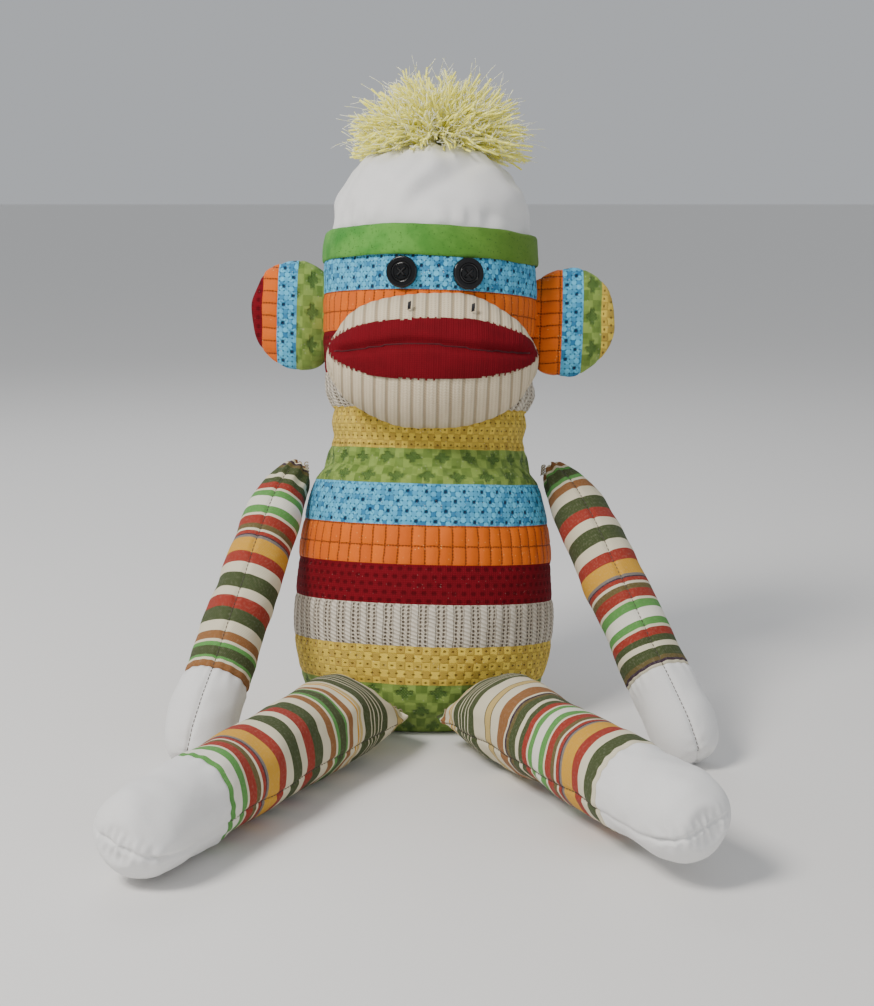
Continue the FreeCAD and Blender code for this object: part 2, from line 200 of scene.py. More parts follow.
def make_mesh(name, points, faces, uv, material_of, materials):
    """A smooth mesh object; points in mm in the row frame, uv one (u, v) in mm per face corner."""
    mesh = bpy.data.meshes.new(name)
    mesh.from_pydata((np.asarray(points) * MM).tolist(), [], faces)
    mesh.uv_layers.new(name="mm").data.foreach_set("uv", np.asarray(uv, dtype=np.float32).ravel())
    for m in materials:
        mesh.materials.append(m)
    if material_of is not None:
        mesh.polygons.foreach_set("material_index", np.asarray(material_of, dtype=np.int32))
    mesh.polygons.foreach_set("use_smooth", np.ones(len(mesh.polygons), dtype=bool))
    mesh.update()
    obj = bpy.data.objects.new(name, mesh)
    bpy.context.scene.collection.objects.link(obj)
    return obj


def grid_object(name, grid, u, v, materials, row_material=None, keep=None, caps=(True, True)):
    """A tube grid as an object, with u per column (one more, for the seam) and v per row, in mm.

    keep is an optional (rows-1, cols) mask of the quads that belong to this piece.
    """
    rows, cols, _ = grid.shape
    ends = [grid[row].mean(axis=0) for row, wanted in zip((0, -1), caps) if wanted]
    points = np.vstack([grid.reshape(-1, 3), np.array(ends).reshape(-1, 3)])
    quads = np.array([(r, c) for r in range(rows - 1) for c in range(cols)])
    if keep is not None:
        quads = quads[keep[quads[:, 0], quads[:, 1]]]
    r, c = quads[:, 0], quads[:, 1]
    d = (c + 1) % cols
    faces = np.column_stack([r * cols + c, r * cols + d, (r + 1) * cols + d, (r + 1) * cols + c])
    uu = u if u.ndim == 2 else np.repeat(u[None, :], rows, axis=0)
    vv = v if v.ndim == 2 else np.repeat(v[:, None], cols + 1, axis=1)
    corner = np.stack([
        np.column_stack([uu[r, c], vv[r, c]]), np.column_stack([uu[r, c + 1], vv[r, c + 1]]),
        np.column_stack([uu[r + 1, c + 1], vv[r + 1, c + 1]]), np.column_stack([uu[r + 1, c], vv[r + 1, c]]),
    ], axis=1)
    if row_material is None:
        row_material = np.zeros(rows - 1, int)
    uv = [corner.reshape(-1, 2)]
    slots = [row_material[r]]
    face_list = faces.tolist()
    extra = rows * cols
    for end, wanted in enumerate(caps):
        if not wanted:
            continue
        ring = 0 if end == 0 else rows - 1
        for k in range(cols):
            n = (k + 1) % cols
            a, b = (n, k) if end == 0 else (k, n)
            face_list.append((extra, ring * cols + a, ring * cols + b))
        span = np.arange(cols)
        first, second = (span + 1, span) if end == 0 else (span, span + 1)
        mid = np.column_stack([uu[ring, span], vv[ring, span]])
        uv.append(np.stack([mid, np.column_stack([uu[ring, first], vv[ring, first]]),
                            np.column_stack([uu[ring, second], vv[ring, second]])], axis=1).reshape(-1, 2))
        slots.append(np.full(cols, row_material[0 if end == 0 else -1]))
        extra += 1
    obj = make_mesh(name, points, face_list, np.vstack(uv), np.concatenate(slots), materials)
    if keep is not None:
        drop_loose(obj)
    return obj


def drop_loose(obj):
    """Removes points that no face uses."""
    mesh = obj.data
    used = np.zeros(len(mesh.vertices), bool)
    index = np.empty(len(mesh.loops), dtype=np.int64)
    mesh.loops.foreach_get("vertex_index", index)
    used[index] = True
    if used.all():
        return
    bm = bmesh.new()
    bm.from_mesh(mesh)
    bmesh.ops.delete(bm, geom=[v for v in bm.verts if not used[v.index]], context="VERTS")
    bm.to_mesh(mesh)
    bm.free()


def tubes(name, paths, radii, sides, materials):
    """Many round strands as one mesh: each path is (n, 3) in mm and each radius a number or n numbers."""
    points, faces, uv = [], [], []
    base = 0
    ang = np.arange(sides) * TAU / sides
    for path, radius in zip(paths, radii):
        path = np.asarray(path, float)
        n = len(path)
        radius = np.broadcast_to(np.asarray(radius, float), (n,))
        tangent = np.gradient(path, axis=0)
        tangent /= np.maximum(np.linalg.norm(tangent, axis=1, keepdims=True), 1e-9)
        side = np.cross(tangent[0], [0.31, 0.22, 0.92])
        if np.linalg.norm(side) < 1e-3:
            side = np.cross(tangent[0], [1.0, 0.1, 0])
        side = unit(side)
        rings = []
        for k in range(n):
            side = unit(side - side.dot(tangent[k]) * tangent[k])
            other = np.cross(tangent[k], side)
            rings.append(path[k] + radius[k] * (np.outer(np.cos(ang), side) + np.outer(np.sin(ang), other)))
        points.append(np.vstack(rings))
        length = run_along(path)
        for k in range(n - 1):
            for s in range(sides):
                t = (s + 1) % sides
                faces.append((base + k * sides + s, base + k * sides + t,
                              base + (k + 1) * sides + t, base + (k + 1) * sides + s))
                uv += [(s / sides, length[k]), ((s + 1) / sides, length[k]),
                       ((s + 1) / sides, length[k + 1]), (s / sides, length[k + 1])]
        faces.append(tuple(base + s for s in reversed(range(sides))))
        uv += [(0.5, length[0])] * sides
        last = base + (n - 1) * sides
        faces.append(tuple(last + s for s in range(sides)))
        uv += [(0.5, length[-1])] * sides
        base += n * sides
    return make_mesh(name, np.vstack(points), faces, uv, None, materials)


# ---------------------------------------------------------------- shader building

class Sock:
    """A number or socket in a node tree, so that patterns can be written as sums and products."""

    def __init__(self, tree, value):
        self.tree = tree
        self.value = value

    def _math(self, op, *others):
        node = self.tree.nodes.new("ShaderNodeMath")
        node.operation = op
        for slot, item in zip(node.inputs, (self,) + others):
            item = item.value if isinstance(item, Sock) else item
            if isinstance(item, (int, float)):
                slot.default_value = item
            else:
                self.tree.links.new(item, slot)
        return Sock(self.tree, node.outputs[0])

    def __add__(self, o):
        return self._math("ADD", o)

    def __sub__(self, o):
        return self._math("SUBTRACT", o)

    def __mul__(self, o):
        return self._math("MULTIPLY", o)

    def __truediv__(self, o):
        return self._math("DIVIDE", o)

    def fract(self):
        return self._math("FRACT")

    def floor(self):
        return self._math("FLOOR")

    def abs(self):
        return self._math("ABSOLUTE")

    def sin(self):
        return self._math("SINE")

    def cos(self):
        return self._math("COSINE")

    def max(self, o):
        return self._math("MAXIMUM", o)

    def power(self, o):
        return self._math("POWER", o)

    def mod2(self):
        return (self / 2.0).fract() * 2.0

    def above(self, o):
        return self._math("GREATER_THAN", o)

    def flip(self):
        """1 minus the value."""
        return self * -1.0 + 1.0

    def wave(self):
        """The sine, brought to 0..1."""
        return self.sin() * 0.5 + 0.5

    def off_centre(self):
        """Distance from the middle of the unit cell, 0 to 0.5."""
        return (self.fract() - 0.5).abs()

    def step(self, low, high):
        """0 below low, 1 above high, smooth between."""
        node = self.tree.nodes.new("ShaderNodeMapRange")
        node.interpolation_type = "SMOOTHSTEP"
        self.tree.links.new(self.value, node.inputs["Value"])
        node.inputs["From Min"].default_value = low
        node.inputs["From Max"].default_value = high
        return Sock(self.tree, node.outputs["Result"])


class Cloth:
    """A fabric material under construction, with u and v in millimetres from the 'mm' UV layer."""

    def __init__(self, name, rough=0.85, sheen=0.25, spec=0.25, waver=0.0):
        self.mat = bpy.data.materials.new(name)
        self.mat.use_nodes = True
        self.tree = self.mat.node_tree
        self.bsdf = self.tree.nodes["Principled BSDF"]
        self.bsdf.inputs["Roughness"].default_value = rough
        self.bsdf.inputs["Sheen Weight"].default_value = sheen
        self.bsdf.inputs["Sheen Roughness"].default_value = 0.5
        self.bsdf.inputs["Specular IOR Level"].default_value = spec
        node = self.tree.nodes.new("ShaderNodeUVMap")
        node.uv_map = "mm"
        self.uv = node.outputs["UV"]
        split = self.tree.nodes.new("ShaderNodeSeparateXYZ")
        self.tree.links.new(self.uv, split.inputs[0])
        self.u = Sock(self.tree, split.outputs["X"])
        self.v = Sock(self.tree, split.outputs["Y"])
        if waver:
            self.u = self.u + (self.noise(0.16, 2.0) - 0.5) * waver
            self.v = self.v + (self.noise(0.19, 2.0, vector=self.shifted(31.0)) - 0.5) * waver

    def point(self, u, v):
        node = self.tree.nodes.new("ShaderNodeCombineXYZ")
        self.tree.links.new(u.value, node.inputs["X"])
        self.tree.links.new(v.value, node.inputs["Y"])
        return node.outputs[0]

    def shifted(self, by):
        node = self.tree.nodes.new("ShaderNodeVectorMath")
        node.operation = "ADD"
        self.tree.links.new(self.uv, node.inputs[0])
        node.inputs[1].default_value = (by, by, 0)
        return node.outputs[0]

    def random_blocks(self, wide, tall):
        """A random number from 0 to 1 for every block of the cloth."""
        node = self.tree.nodes.new("ShaderNodeTexWhiteNoise")
        node.noise_dimensions = "2D"
        cell = self.point((self.u / wide).floor(), (self.v / tall).floor())
        self.tree.links.new(cell, node.inputs["Vector"])
        return Sock(self.tree, node.outputs["Value"])

    def noise(self, scale, detail=2.0, rough=0.5, vector=None):
        node = self.tree.nodes.new("ShaderNodeTexNoise")
        node.inputs["Scale"].default_value = scale
        node.inputs["Detail"].default_value = detail
        node.inputs["Roughness"].default_value = rough
        self.tree.links.new(vector or self.uv, node.inputs["Vector"])
        return Sock(self.tree, node.outputs["Fac"])

    def cells(self, scale):
        node = self.tree.nodes.new("ShaderNodeTexVoronoi")
        node.inputs["Scale"].default_value = scale
        self.tree.links.new(self.uv, node.inputs["Vector"])
        return Sock(self.tree, node.outputs["Distance"])

    def mix(self, factor, a, b):
        node = self.tree.nodes.new("ShaderNodeMix")
        node.data_type = "RGBA"
        for slot, item in ((node.inputs[0], factor), (node.inputs[6], a), (node.inputs[7], b)):
            item = item.value if isinstance(item, Sock) else item
            if isinstance(item, (int, float)):
                slot.default_value = item
            elif isinstance(item, tuple):
                slot.default_value = item + (1.0,)
            else:
                self.tree.links.new(item, slot)
        return node.outputs[2]

    def glitter(self, colour, amount=0.5, tint=(1.0, 0.96, 0.8)):
        """Sparse bright flecks of metallic thread; their near-white colour is painted glint."""
        mask = self.cells(0.55).flip().step(0.83, 0.9) * self.noise(0.23, 0.0).step(0.50, 0.62) * amount
        return self.mix(mask, colour, tint)

    def finish(self, colour, height, strength, depth):
        """Joins the colour and a relief of the given depth in mm, and returns the material."""
        self.tree.links.new(colour, self.bsdf.inputs["Base Color"])
        bump = self.tree.nodes.new("ShaderNodeBump")
        bump.inputs["Strength"].default_value = strength
        bump.inputs["Distance"].default_value = depth * MM
        self.tree.links.new(height.value, bump.inputs["Height"])
        self.tree.links.new(bump.outputs[0], self.bsdf.inputs["Normal"])
        return self.mat


AROUND = 440.0         # nominal distance round the body tube for the knit patterns
ROW = 11.3             # half the height of a knit stripe, which is one row of a pattern
BLUE_BLOCK = AROUND / 160
RIB_PITCH = 7.2        # distance between the muzzle's ribs
RIB_FADE = (52.0, 68.0)  # distances from the muzzle's middle between which the ribs run out


def tinted(colour, *by):
    return tuple(part * share for part, share in zip(colour, by))


def lattice(c, period, row):
    """Distances in mm across and up from the nearest point of a staggered lattice."""
    stagger = (c.v / row).floor().mod2() * 0.5
    across = (c.u / period + stagger).off_centre() * period
    up = (c.v / row).off_centre() * row
    return across, up


def inside(across, up, wide, tall, soft=0.35):
    """1 inside a rectangle of the given half sizes, 0 outside."""
    return across.step(wide - soft, wide + soft).max(up.step(tall - soft, tall + soft)).flip()


def blocks(c, wide, tall):
    """Satin blocks: their parity and the height of their threads, which turn from block to block."""
    odd = ((c.u / wide).floor() + (c.v / tall).floor()).mod2().above(0.5)
    rising = ((c.u + c.v) / 0.95 * TAU).wave()
    falling = ((c.u - c.v) / 0.95 * TAU).wave()
    return odd, rising * odd + falling * odd.flip()


def knit_blue():
    c = Cloth("knit_blue", waver=1.5, rough=0.75, sheen=0.04)
    odd, satin = blocks(c, BLUE_BLOCK, ROW / 4)
    edge_u = (c.u / BLUE_BLOCK).off_centre()
    edge_v = (c.v / (ROW / 4)).off_centre()
    corner = (edge_u + edge_v).step(0.72, 0.92)
    across, up = lattice(c, AROUND / 40, ROW / 2)
    reach = (across * across + up * up).power(0.5)
    spot = reach.step(0.7, 1.5).flip()
    petal = (across - up).abs().step(0.1, 0.6).flip() * (across + up).step(3.2, 4.4).flip()
    chance = c.random_blocks(BLUE_BLOCK, ROW / 4)
    shade = c.mix(odd * 0.6, (0.11, 0.60, 0.92), (0.028, 0.30, 0.62))
    shade = c.mix(satin * 0.45, shade, (0.24, 0.76, 0.98))
    shade = c.mix(chance.step(0.55, 1.0) * 0.8, shade, (0.012, 0.15, 0.36))
    shade = c.mix(petal * 0.55, shade, (0.018, 0.19, 0.42))
    shade = c.mix(corner * 0.8, shade, (0.006, 0.06, 0.17))
    shade = c.mix(spot * 0.9, shade, (0.002, 0.020, 0.075))
    height = satin * 0.3 - corner * 0.8 - spot + odd * 0.2 - petal * 0.4 - chance * 0.5
    return c.finish(c.glitter(shade, 0.6), height, 1.0, 0.9)


def knit_orange():
    c = Cloth("knit_orange", waver=1.5, rough=0.65, sheen=0.03)
    period = AROUND / 60
    place = (c.u / period).fract()
    post = (place - 0.5).abs().step(0.42, 0.475)
    rail = (c.v / ROW).off_centre().step(0.455, 0.48)
    dots_v = (c.v / 1.7 * TAU).sin().step(-0.4, 0.4)
    dots_u = (c.u / 1.7 * TAU).sin().step(-0.4, 0.4)
    gap = (post * (dots_v * 0.65 + 0.35)).max(rail * (dots_u * 0.65 + 0.35))
    odd, satin = blocks(c, period, ROW)
    # painted shade: each block darker towards one side and every other block darker, as if lit from one side;
    # chance adds tone that differs at random
    slope = (place - 0.5) * 0.9 + 0.5
    chance = c.random_blocks(period, ROW)
    shade = c.mix(odd * 0.2 + chance * 0.4, (0.80, 0.145, 0.001), (0.50, 0.060, 0.001))
    shade = c.mix(slope * 0.35, shade, (0.45, 0.065, 0.002))
    shade = c.mix(satin * 0.25, shade, (0.95, 0.26, 0.006))
    shade = c.mix(gap * 0.8, shade, (0.10, 0.014, 0.001))
    height = (place - 0.5) * (place - 0.5) * -2.0 - gap * 1.2 + satin * 0.15
    return c.finish(c.glitter(shade, 0.55, (1.0, 0.8, 0.3)), height, 0.9, 0.8)


def knit_red(name="knit_red", base=(0.150, 0.0032, 0.0085), dark=(0.040, 0.0004, 0.0018), dots=1.0):
    c = Cloth(name, rough=0.85, sheen=0.0, spec=0.12)
    across, up = lattice(c, AROUND / 84, 4.5)
    mark = inside(across + up * 0.5, up, 1.5, 1.1, 0.6) * dots
    rib = (c.u / 1.3 * TAU).wave()
    rows = (c.v / 1.15 * TAU).wave()
    shade = c.mix(rib * 0.35 + rows * 0.15, base, tinted(base, 1.45, 1.6, 1.6))
    shade = c.mix(mark * 0.6, shade, dark)
    shade = c.mix(c.noise(0.08, 2.0).step(0.4, 0.7) * 0.25, shade, tinted(base, 0.6, 1, 0.6))
    return c.finish(c.glitter(shade, 0.10 * dots), rib * 0.4 + rows * 0.3 - mark * 0.7, 0.6, 0.45)


def knit_cream():
    c = Cloth("knit_cream", waver=1.5, sheen=0.04)
    period = AROUND / 48
    cell = (c.u / period).fract()
    column = (cell - 0.5).abs() * 2.0
    lace = column.step(0.36, 0.46)
    twist = (c.v / 2.3 * TAU + (cell - 0.5) * 11.0).wave()
    hole_u = ((column - 0.70).abs() * (period * 0.5))
    hole_v = (c.v / 2.15).off_centre() * 2.15
    hole = (hole_u * hole_u * 1.4 + hole_v * hole_v).power(0.5).step(0.35, 0.95).flip() * lace
    seam = (column - 0.42).abs().step(0.0, 0.10).flip()
    shade = c.mix(twist * 0.55, (0.50, 0.445, 0.36), (0.86, 0.80, 0.68))
    shade = c.mix(lace * 0.40, shade, (0.48, 0.41, 0.31))
    shade = c.mix(seam * 0.35, shade, (0.17, 0.13, 0.09))
    shade = c.mix(hole * 0.92, shade, (0.085, 0.060, 0.040))
    shade = c.mix(c.noise(0.3, 3.0).step(0.5, 0.8) * 0.15, shade, (0.45, 0.38, 0.28))
    return c.finish(c.glitter(shade, 0.3), twist * 0.5 - lace * 0.6 - hole * 1.3 - seam * 0.4, 1.0, 0.8)


def knit_yellow():
    c = Cloth("knit_yellow", waver=1.5, rough=0.7, sheen=0.04)
    p = AROUND / 96
    row = ROW / 2.5
    odd, satin = blocks(c, p, row)
    place_u = (c.u / p).off_centre()
    place_v = (c.v / row).off_centre()
    edge = place_u.max(place_v).step(0.40, 0.49)
    across, up = lattice(c, p, row)
    hole = (across * across + up * up * 2.2).power(0.5).step(0.35, 1.05).flip()
    chance = c.random_blocks(p, row)
    # every other square is a slanting satin block, the ones between lie lower and darker
    slope = ((c.u + c.v) / 1.25 * TAU).wave()
    shade = c.mix(odd * 0.62 + chance * 0.35, (0.98, 0.71, 0.075), (0.40, 0.205, 0.008))
    shade = c.mix(satin * 0.45, shade, (1.0, 0.84, 0.20))
    shade = c.mix(slope * odd.flip() * 0.30, shade, (0.55, 0.33, 0.02))
    shade = c.mix(edge * 0.22, shade, (0.40, 0.20, 0.010))
    shade = c.mix(hole * 0.8, shade, (0.085, 0.030, 0.003))
    height = satin * 0.4 - odd * 0.5 - edge * 0.4 - hole * 1.1
    return c.finish(c.glitter(shade, 0.6, (1.0, 0.95, 0.6)), height, 0.95, 0.8)


def knit_green():
    c = Cloth("knit_green", waver=1.5, rough=0.7, sheen=0.04)
    across, up = lattice(c, AROUND / 23, ROW)
    rough = c.random_blocks(AROUND / 276, ROW / 7) * 0.5
    gap = inside(across + rough, up + rough, 4.9, 1.5, 0.25)
    gap = gap.max(inside(across + rough, up + rough, 2.3, 3.3, 0.25))
    arms = inside(across, up, 5.6, 1.2).max(inside(across, up, 1.3, 4.6))
    odd, satin = blocks(c, AROUND / 69, ROW / 2)
    bead = ((c.u / 1.7 * TAU).sin() * (c.v / 1.7 * TAU).sin()).step(0.1, 0.7)
    step_u = (c.u / (AROUND / 138)).off_centre()
    stepped = step_u.step(0.44, 0.5) * (c.v / 1.7 * TAU).sin().step(-0.2, 0.5) * odd
    light = c.mix(satin * 0.5, (0.22, 0.34, 0.050), (0.50, 0.64, 0.19))
    chance = c.random_blocks(AROUND / 138, ROW / 3.5)
    light = c.mix(odd * 0.48 + chance.step(0.35, 0.95) * 0.35, light, (0.10, 0.19, 0.025))
    light = c.mix(arms * 0.45, light, (0.09, 0.17, 0.022))
    light = c.mix(stepped * 0.6, light, (0.05, 0.10, 0.015))
    dark = c.mix(bead, (0.016, 0.060, 0.010), (0.20, 0.34, 0.07))
    shade = c.mix(gap * 0.72, light, dark)
    height = gap.flip() * (satin * 0.35 + 0.8) + gap * bead * 0.5 - stepped * 0.4 - arms * 0.5
    return c.finish(c.glitter(shade, 0.5), height, 0.95, 0.8)


def muzzle_knit():
    c = Cloth("muzzle_cream", rough=0.9, sheen=0.04)
    rib = (c.u / RIB_PITCH * TAU).cos() * 0.5 + 0.5
    # the ribs run out where the knit is gathered into the side of the head
    furrow = rib.step(0.0, 0.35).flip() * c.u.abs().step(*RIB_FADE).flip()
    fine = (c.u / 2.4 * TAU).cos() * 0.5 + 0.5
    stitch = (c.v / 1.9 * TAU + (c.u / 2.4 * TAU).sin() * 1.3).wave()
    shade = c.mix(stitch * 0.30 + fine * 0.25, (0.58, 0.47, 0.31), (0.87, 0.775, 0.60))
    # painted shade: the furrows between the ribs are coloured dark brown
    shade = c.mix(furrow * (stitch * 0.35 + 0.36), shade, (0.20, 0.135, 0.07))
    shade = c.mix(c.noise(0.5, 3.0).step(0.5, 0.85) * 0.2, shade, (0.42, 0.34, 0.24))
    return c.finish(shade, fine * 0.3 + stitch * 0.35 - furrow * 0.8, 0.75, 0.55)


COTTON = (0.78, 0.775, 0.765)


def white_cotton():
    c = Cloth("white_cotton", rough=0.9, sheen=0.15)
    warp = (c.u / 0.55 * TAU).sin() * (c.v / 0.55 * TAU).sin()
    slub = c.noise(0.9, 3.0)
    shade = c.mix(slub.step(0.3, 0.8) * 0.35, COTTON, tinted(COTTON, 0.90, 0.895, 0.88))
    shade = c.mix(c.noise(0.035, 2.0).step(0.4, 0.7) * 0.35, shade, tinted(COTTON, 0.93, 0.92, 0.91))
    return c.finish(shade, warp * 0.25 + slub * 0.6, 0.25, 0.35)


def green_batik():
    c = Cloth("green_batik", rough=0.85, sheen=0.05)
    big = c.noise(0.045, 3.0, 0.6)
    small = c.noise(0.5, 4.0, 0.7)
    # painted shade: brighter on the viewer's left, darker and more olive on the right, the side away from the
    # key light
    side = c.u.step(-45.0, 75.0)
    shade = c.mix(big.step(0.35, 0.65), (0.050, 0.235, 0.032), (0.115, 0.34, 0.055))
    shade = c.mix(side * 0.75, shade, (0.115, 0.185, 0.014))
    shade = c.mix(small.step(0.5, 0.75) * 0.5, shade, (0.022, 0.10, 0.012))
    dots = c.cells(0.42).flip().step(0.80, 0.88)
    shade = c.mix(dots * 0.6, shade, (0.02, 0.07, 0.01))
    weave = (c.u / 0.6 * TAU).sin() * (c.v / 0.6 * TAU).sin()
    return c.finish(shade, weave * 0.3 + small * 0.5, 0.3, 0.35)


DYES = {
    "cream": (0.70, 0.64, 0.47), "tan": (0.26, 0.105, 0.030), "purple": (0.030, 0.012, 0.035),
    "dark": (0.038, 0.062, 0.016), "bright": (0.085, 0.285, 0.060), "red": (0.30, 0.018, 0.010),
    "olive": (0.115, 0.085, 0.024), "yellow": (0.62, 0.32, 0.025), "sand": (0.55, 0.40, 0.14),
    "grey": (0.18, 0.16, 0.15), "white": (0.78, 0.76, 0.66),
}
# one repeat of the woven stripes: (dye, width in mm)
REPEAT = [
    ("cream", 5), ("yellow", 1.2), ("cream", 1.4), ("sand", 2.4), ("cream", 2.5),
    ("dark", 6.5), ("cream", 1), ("dark", 3), ("cream", 0.9), ("dark", 3), ("cream", 0.9), ("dark", 3),
    ("cream", 1), ("dark", 6), ("cream", 12), ("olive", 0.8), ("sand", 5), ("olive", 0.8), ("cream", 9),
    ("tan", 9.5),
    ("cream", 1.7), ("purple", 1.3), ("olive", 3), ("dark", 6), ("cream", 3.3), ("dark", 4.4), ("red", 3.9),
    ("cream", 1.7), ("bright", 5), ("white", 6.6), ("bright", 5.5), ("cream", 1.3), ("red", 6), ("olive", 3.3),
    ("cream", 2), ("red", 2.4), ("purple", 1.3), ("grey", 1.1), ("yellow", 9.9), ("red", 6.6), ("cream", 7.2),
    ("dark", 9.4), ("cream", 6), ("red", 7.7), ("dark", 8.3), ("cream", 7.2), ("tan", 5), ("cream", 1.7),
    ("bright", 2.8), ("dark", 6), ("bright", 2.2), ("cream", 1.7), ("tan", 4.4),
]
REPEAT_LENGTH = sum(width for _, width in REPEAT)
PLAIN_LENGTH = sum(width for _, width in REPEAT[:20])


def striped_cotton():
    c = Cloth("striped_cotton", rough=0.85, sheen=0.03)
    # v runs along the repeat; a slight waver keeps the woven lines from looking printed
    v = ((c.v + (c.noise(0.05, 1.0) - 0.5) * 0.8) / REPEAT_LENGTH).fract()
    edges = np.concatenate([[0], np.cumsum([width for _, width in REPEAT])]) / REPEAT_LENGTH
    half = len(REPEAT) // 2
    ramps = []
    for start, end in ((0, half), (half, len(REPEAT))):
        node = c.tree.nodes.new("ShaderNodeValToRGB")
        node.color_ramp.interpolation = "CONSTANT"
        c.tree.links.new(v.value, node.inputs[0])
        stops = node.color_ramp.elements
        while len(stops) > 1:
            stops.remove(stops[-1])
        for k in range(start, end):
            stop = stops[0] if k == start else stops.new(float(edges[k]))
            stop.position = float(edges[k])
            stop.color = DYES[REPEAT[k][0]] + (1.0,)
        ramps.append(node.outputs[0])
    shade = c.mix(v.above(float(edges[half])), ramps[0], ramps[1])
    twill = ((c.u * 0.8 + c.v) / 1.15 * TAU).wave()
    shade = c.mix(twill * 0.20, shade, (0.20, 0.16, 0.10))
    shade = c.mix(c.noise(0.7, 3.0).step(0.45, 0.8) * 0.10, shade, (0.70, 0.64, 0.52))
    return c.finish(shade, twill, 0.35, 0.3)


def thread(name, colour, rough=0.6):
    c = Cloth(name, rough=rough, sheen=0.1)
    ply = (c.v / 0.5 * TAU + c.u * TAU).wave()
    shade = c.mix(ply, colour, tuple(min(1.0, x * 1.8 + 0.01) for x in colour))
    return c.finish(shade, ply, 0.4, 0.1)


def solid_noise_material(name, colour, light, rough, coat=0.0, scale=300.0):
    """For pieces with no UV: mottling in object coordinates."""
    mat = bpy.data.materials.new(name)
    mat.use_nodes = True
    tree = mat.node_tree
    bsdf = tree.nodes["Principled BSDF"]
    bsdf.inputs["Roughness"].default_value = rough
    bsdf.inputs["Coat Weight"].default_value = coat
    bsdf.inputs["Coat Roughness"].default_value = 0.06
    bsdf.inputs["Specular IOR Level"].default_value = 0.3
    coord = tree.nodes.new("ShaderNodeTexCoord")
    noise = tree.nodes.new("ShaderNodeTexNoise")
    noise.inputs["Scale"].default_value = scale
    noise.inputs["Detail"].default_value = 3.0
    tree.links.new(coord.outputs["Object"], noise.inputs["Vector"])
    mix = tree.nodes.new("ShaderNodeMix")
    mix.data_type = "RGBA"
    mix.inputs[6].default_value = colour + (1.0,)
    mix.inputs[7].default_value = light + (1.0,)
    tree.links.new(noise.outputs["Fac"], mix.inputs[0])
    tree.links.new(mix.outputs[2], bsdf.inputs["Base Color"])
    bump = tree.nodes.new("ShaderNodeBump")
    bump.inputs["Strength"].default_value = 0.08
    bump.inputs["Distance"].default_value = 0.1 * MM
    tree.links.new(noise.outputs["Fac"], bump.inputs["Height"])
    tree.links.new(bump.outputs[0], bsdf.inputs["Normal"])
    return mat


KNITS = {
    "blue": knit_blue(), "orange": knit_orange(), "red": knit_red(), "cream": knit_cream(),
    "yellow": knit_yellow(), "green": knit_green(),
}
KNIT_NAMES = list(KNITS)
KNIT_LIST = [KNITS[k] for k in KNIT_NAMES]
WHITE = white_cotton()
STRIPED = striped_cotton()
BATIK = green_batik()
MUZZLE = muzzle_knit()
LIP_RED = knit_red("lip_red", (0.140, 0.0032, 0.0080), (0.045, 0.0003, 0.0016), 0.0)
SEAM_THREAD = thread("seam_thread", (0.055, 0.045, 0.035))
# painted shade: the pale thread is coloured a darker brown, for the shade in the folds where the limbs are
# sewn on
PALE_THREAD = thread("pale_thread", (0.26, 0.21, 0.13))
RED_THREAD = thread("red_thread", (0.045, 0.001, 0.004))
BLACK_THREAD = thread("black_thread", (0.010, 0.010, 0.012), 0.45)
BUTTON = solid_noise_material("black_button", (0.0012, 0.0012, 0.0015), (0.003, 0.003, 0.0035), 0.16, 0.25)
BLACK_KNOT = solid_noise_material("black_knot", (0.003, 0.003, 0.004), (0.010, 0.010, 0.011), 0.5, 0.0, 900.0)

# ---------------------------------------------------------------- shared shaping

def lumps(points, wavelength, amount, seed):
    """Soft irregular offsets from a few random waves, one number per point."""
    rng = np.random.default_rng(seed)
    total = np.zeros(points.shape[:-1])
    for _ in range(7):
        direction = unit(rng.normal(size=3))
        k = TAU / (wavelength * rng.uniform(0.7, 1.5))
        total += np.sin(points @ direction * k + rng.uniform(0, TAU))
    return total * amount / 2.6


def arc_levels(profile, low, high, step):
    """Levels between low and high whose spacing along the surface is about step."""
    dense = np.linspace(low, high, 1200)
    wide = rows_from_profile(profile, dense)[:, 1]
    run = np.concatenate([[0], np.cumsum(np.hypot(np.diff(dense), np.diff(wide)))])
    count = max(3, int(round(run[-1] / step)) + 1)
    return np.interp(np.linspace(0, run[-1], count), run, dense)


def fine_values(values, rows):
    """The values resampled to rows, in step with refine."""
    return np.interp(np.linspace(0, len(values) - 1, rows), np.arange(len(values)), values)


def weave_height(kind, u, v, around):
    """Relief of each knit in the same phase as its material, in millimetres."""
    def lattice_spot(period, row, size):
        stagger = np.mod(np.floor(v / row), 2) * 0.5
        across = np.abs(np.mod(u / period + stagger, 1) - 0.5) * period
        up = np.abs(np.mod(v / row, 1) - 0.5) * row
        return np.exp(-(across**2 + up**2) / size**2)

    if kind == "blue":
        return 0.15 - 0.45 * lattice_spot(around / 40, ROW / 2, 1.7)
    if kind == "orange":
        cell = np.mod(u / (around / 60), 1) - 0.5
        return 0.32 * (1 - 4 * cell**2) - 0.3 * (np.abs(np.mod(v / ROW, 1) - 0.5) > 0.44)
    if kind == "red":
        return 0.06 * np.cos(v / 4.5 * TAU) * np.ones_like(u)
    if kind == "cream":
        column = np.abs(np.mod(u / (around / 48), 1) - 0.5) * 2
        return 0.42 * (1 - smooth(0.3, 0.55, column)) + 0.1 * np.cos(v / 2.3 * TAU)
    if kind == "yellow":
        return 0.1 - 0.3 * lattice_spot(around / 96, ROW / 2.5, 1.3)
    return 0.2 - 0.55 * lattice_spot(around / 23, ROW, 3.4)


# ---------------------------------------------------------------- body tube

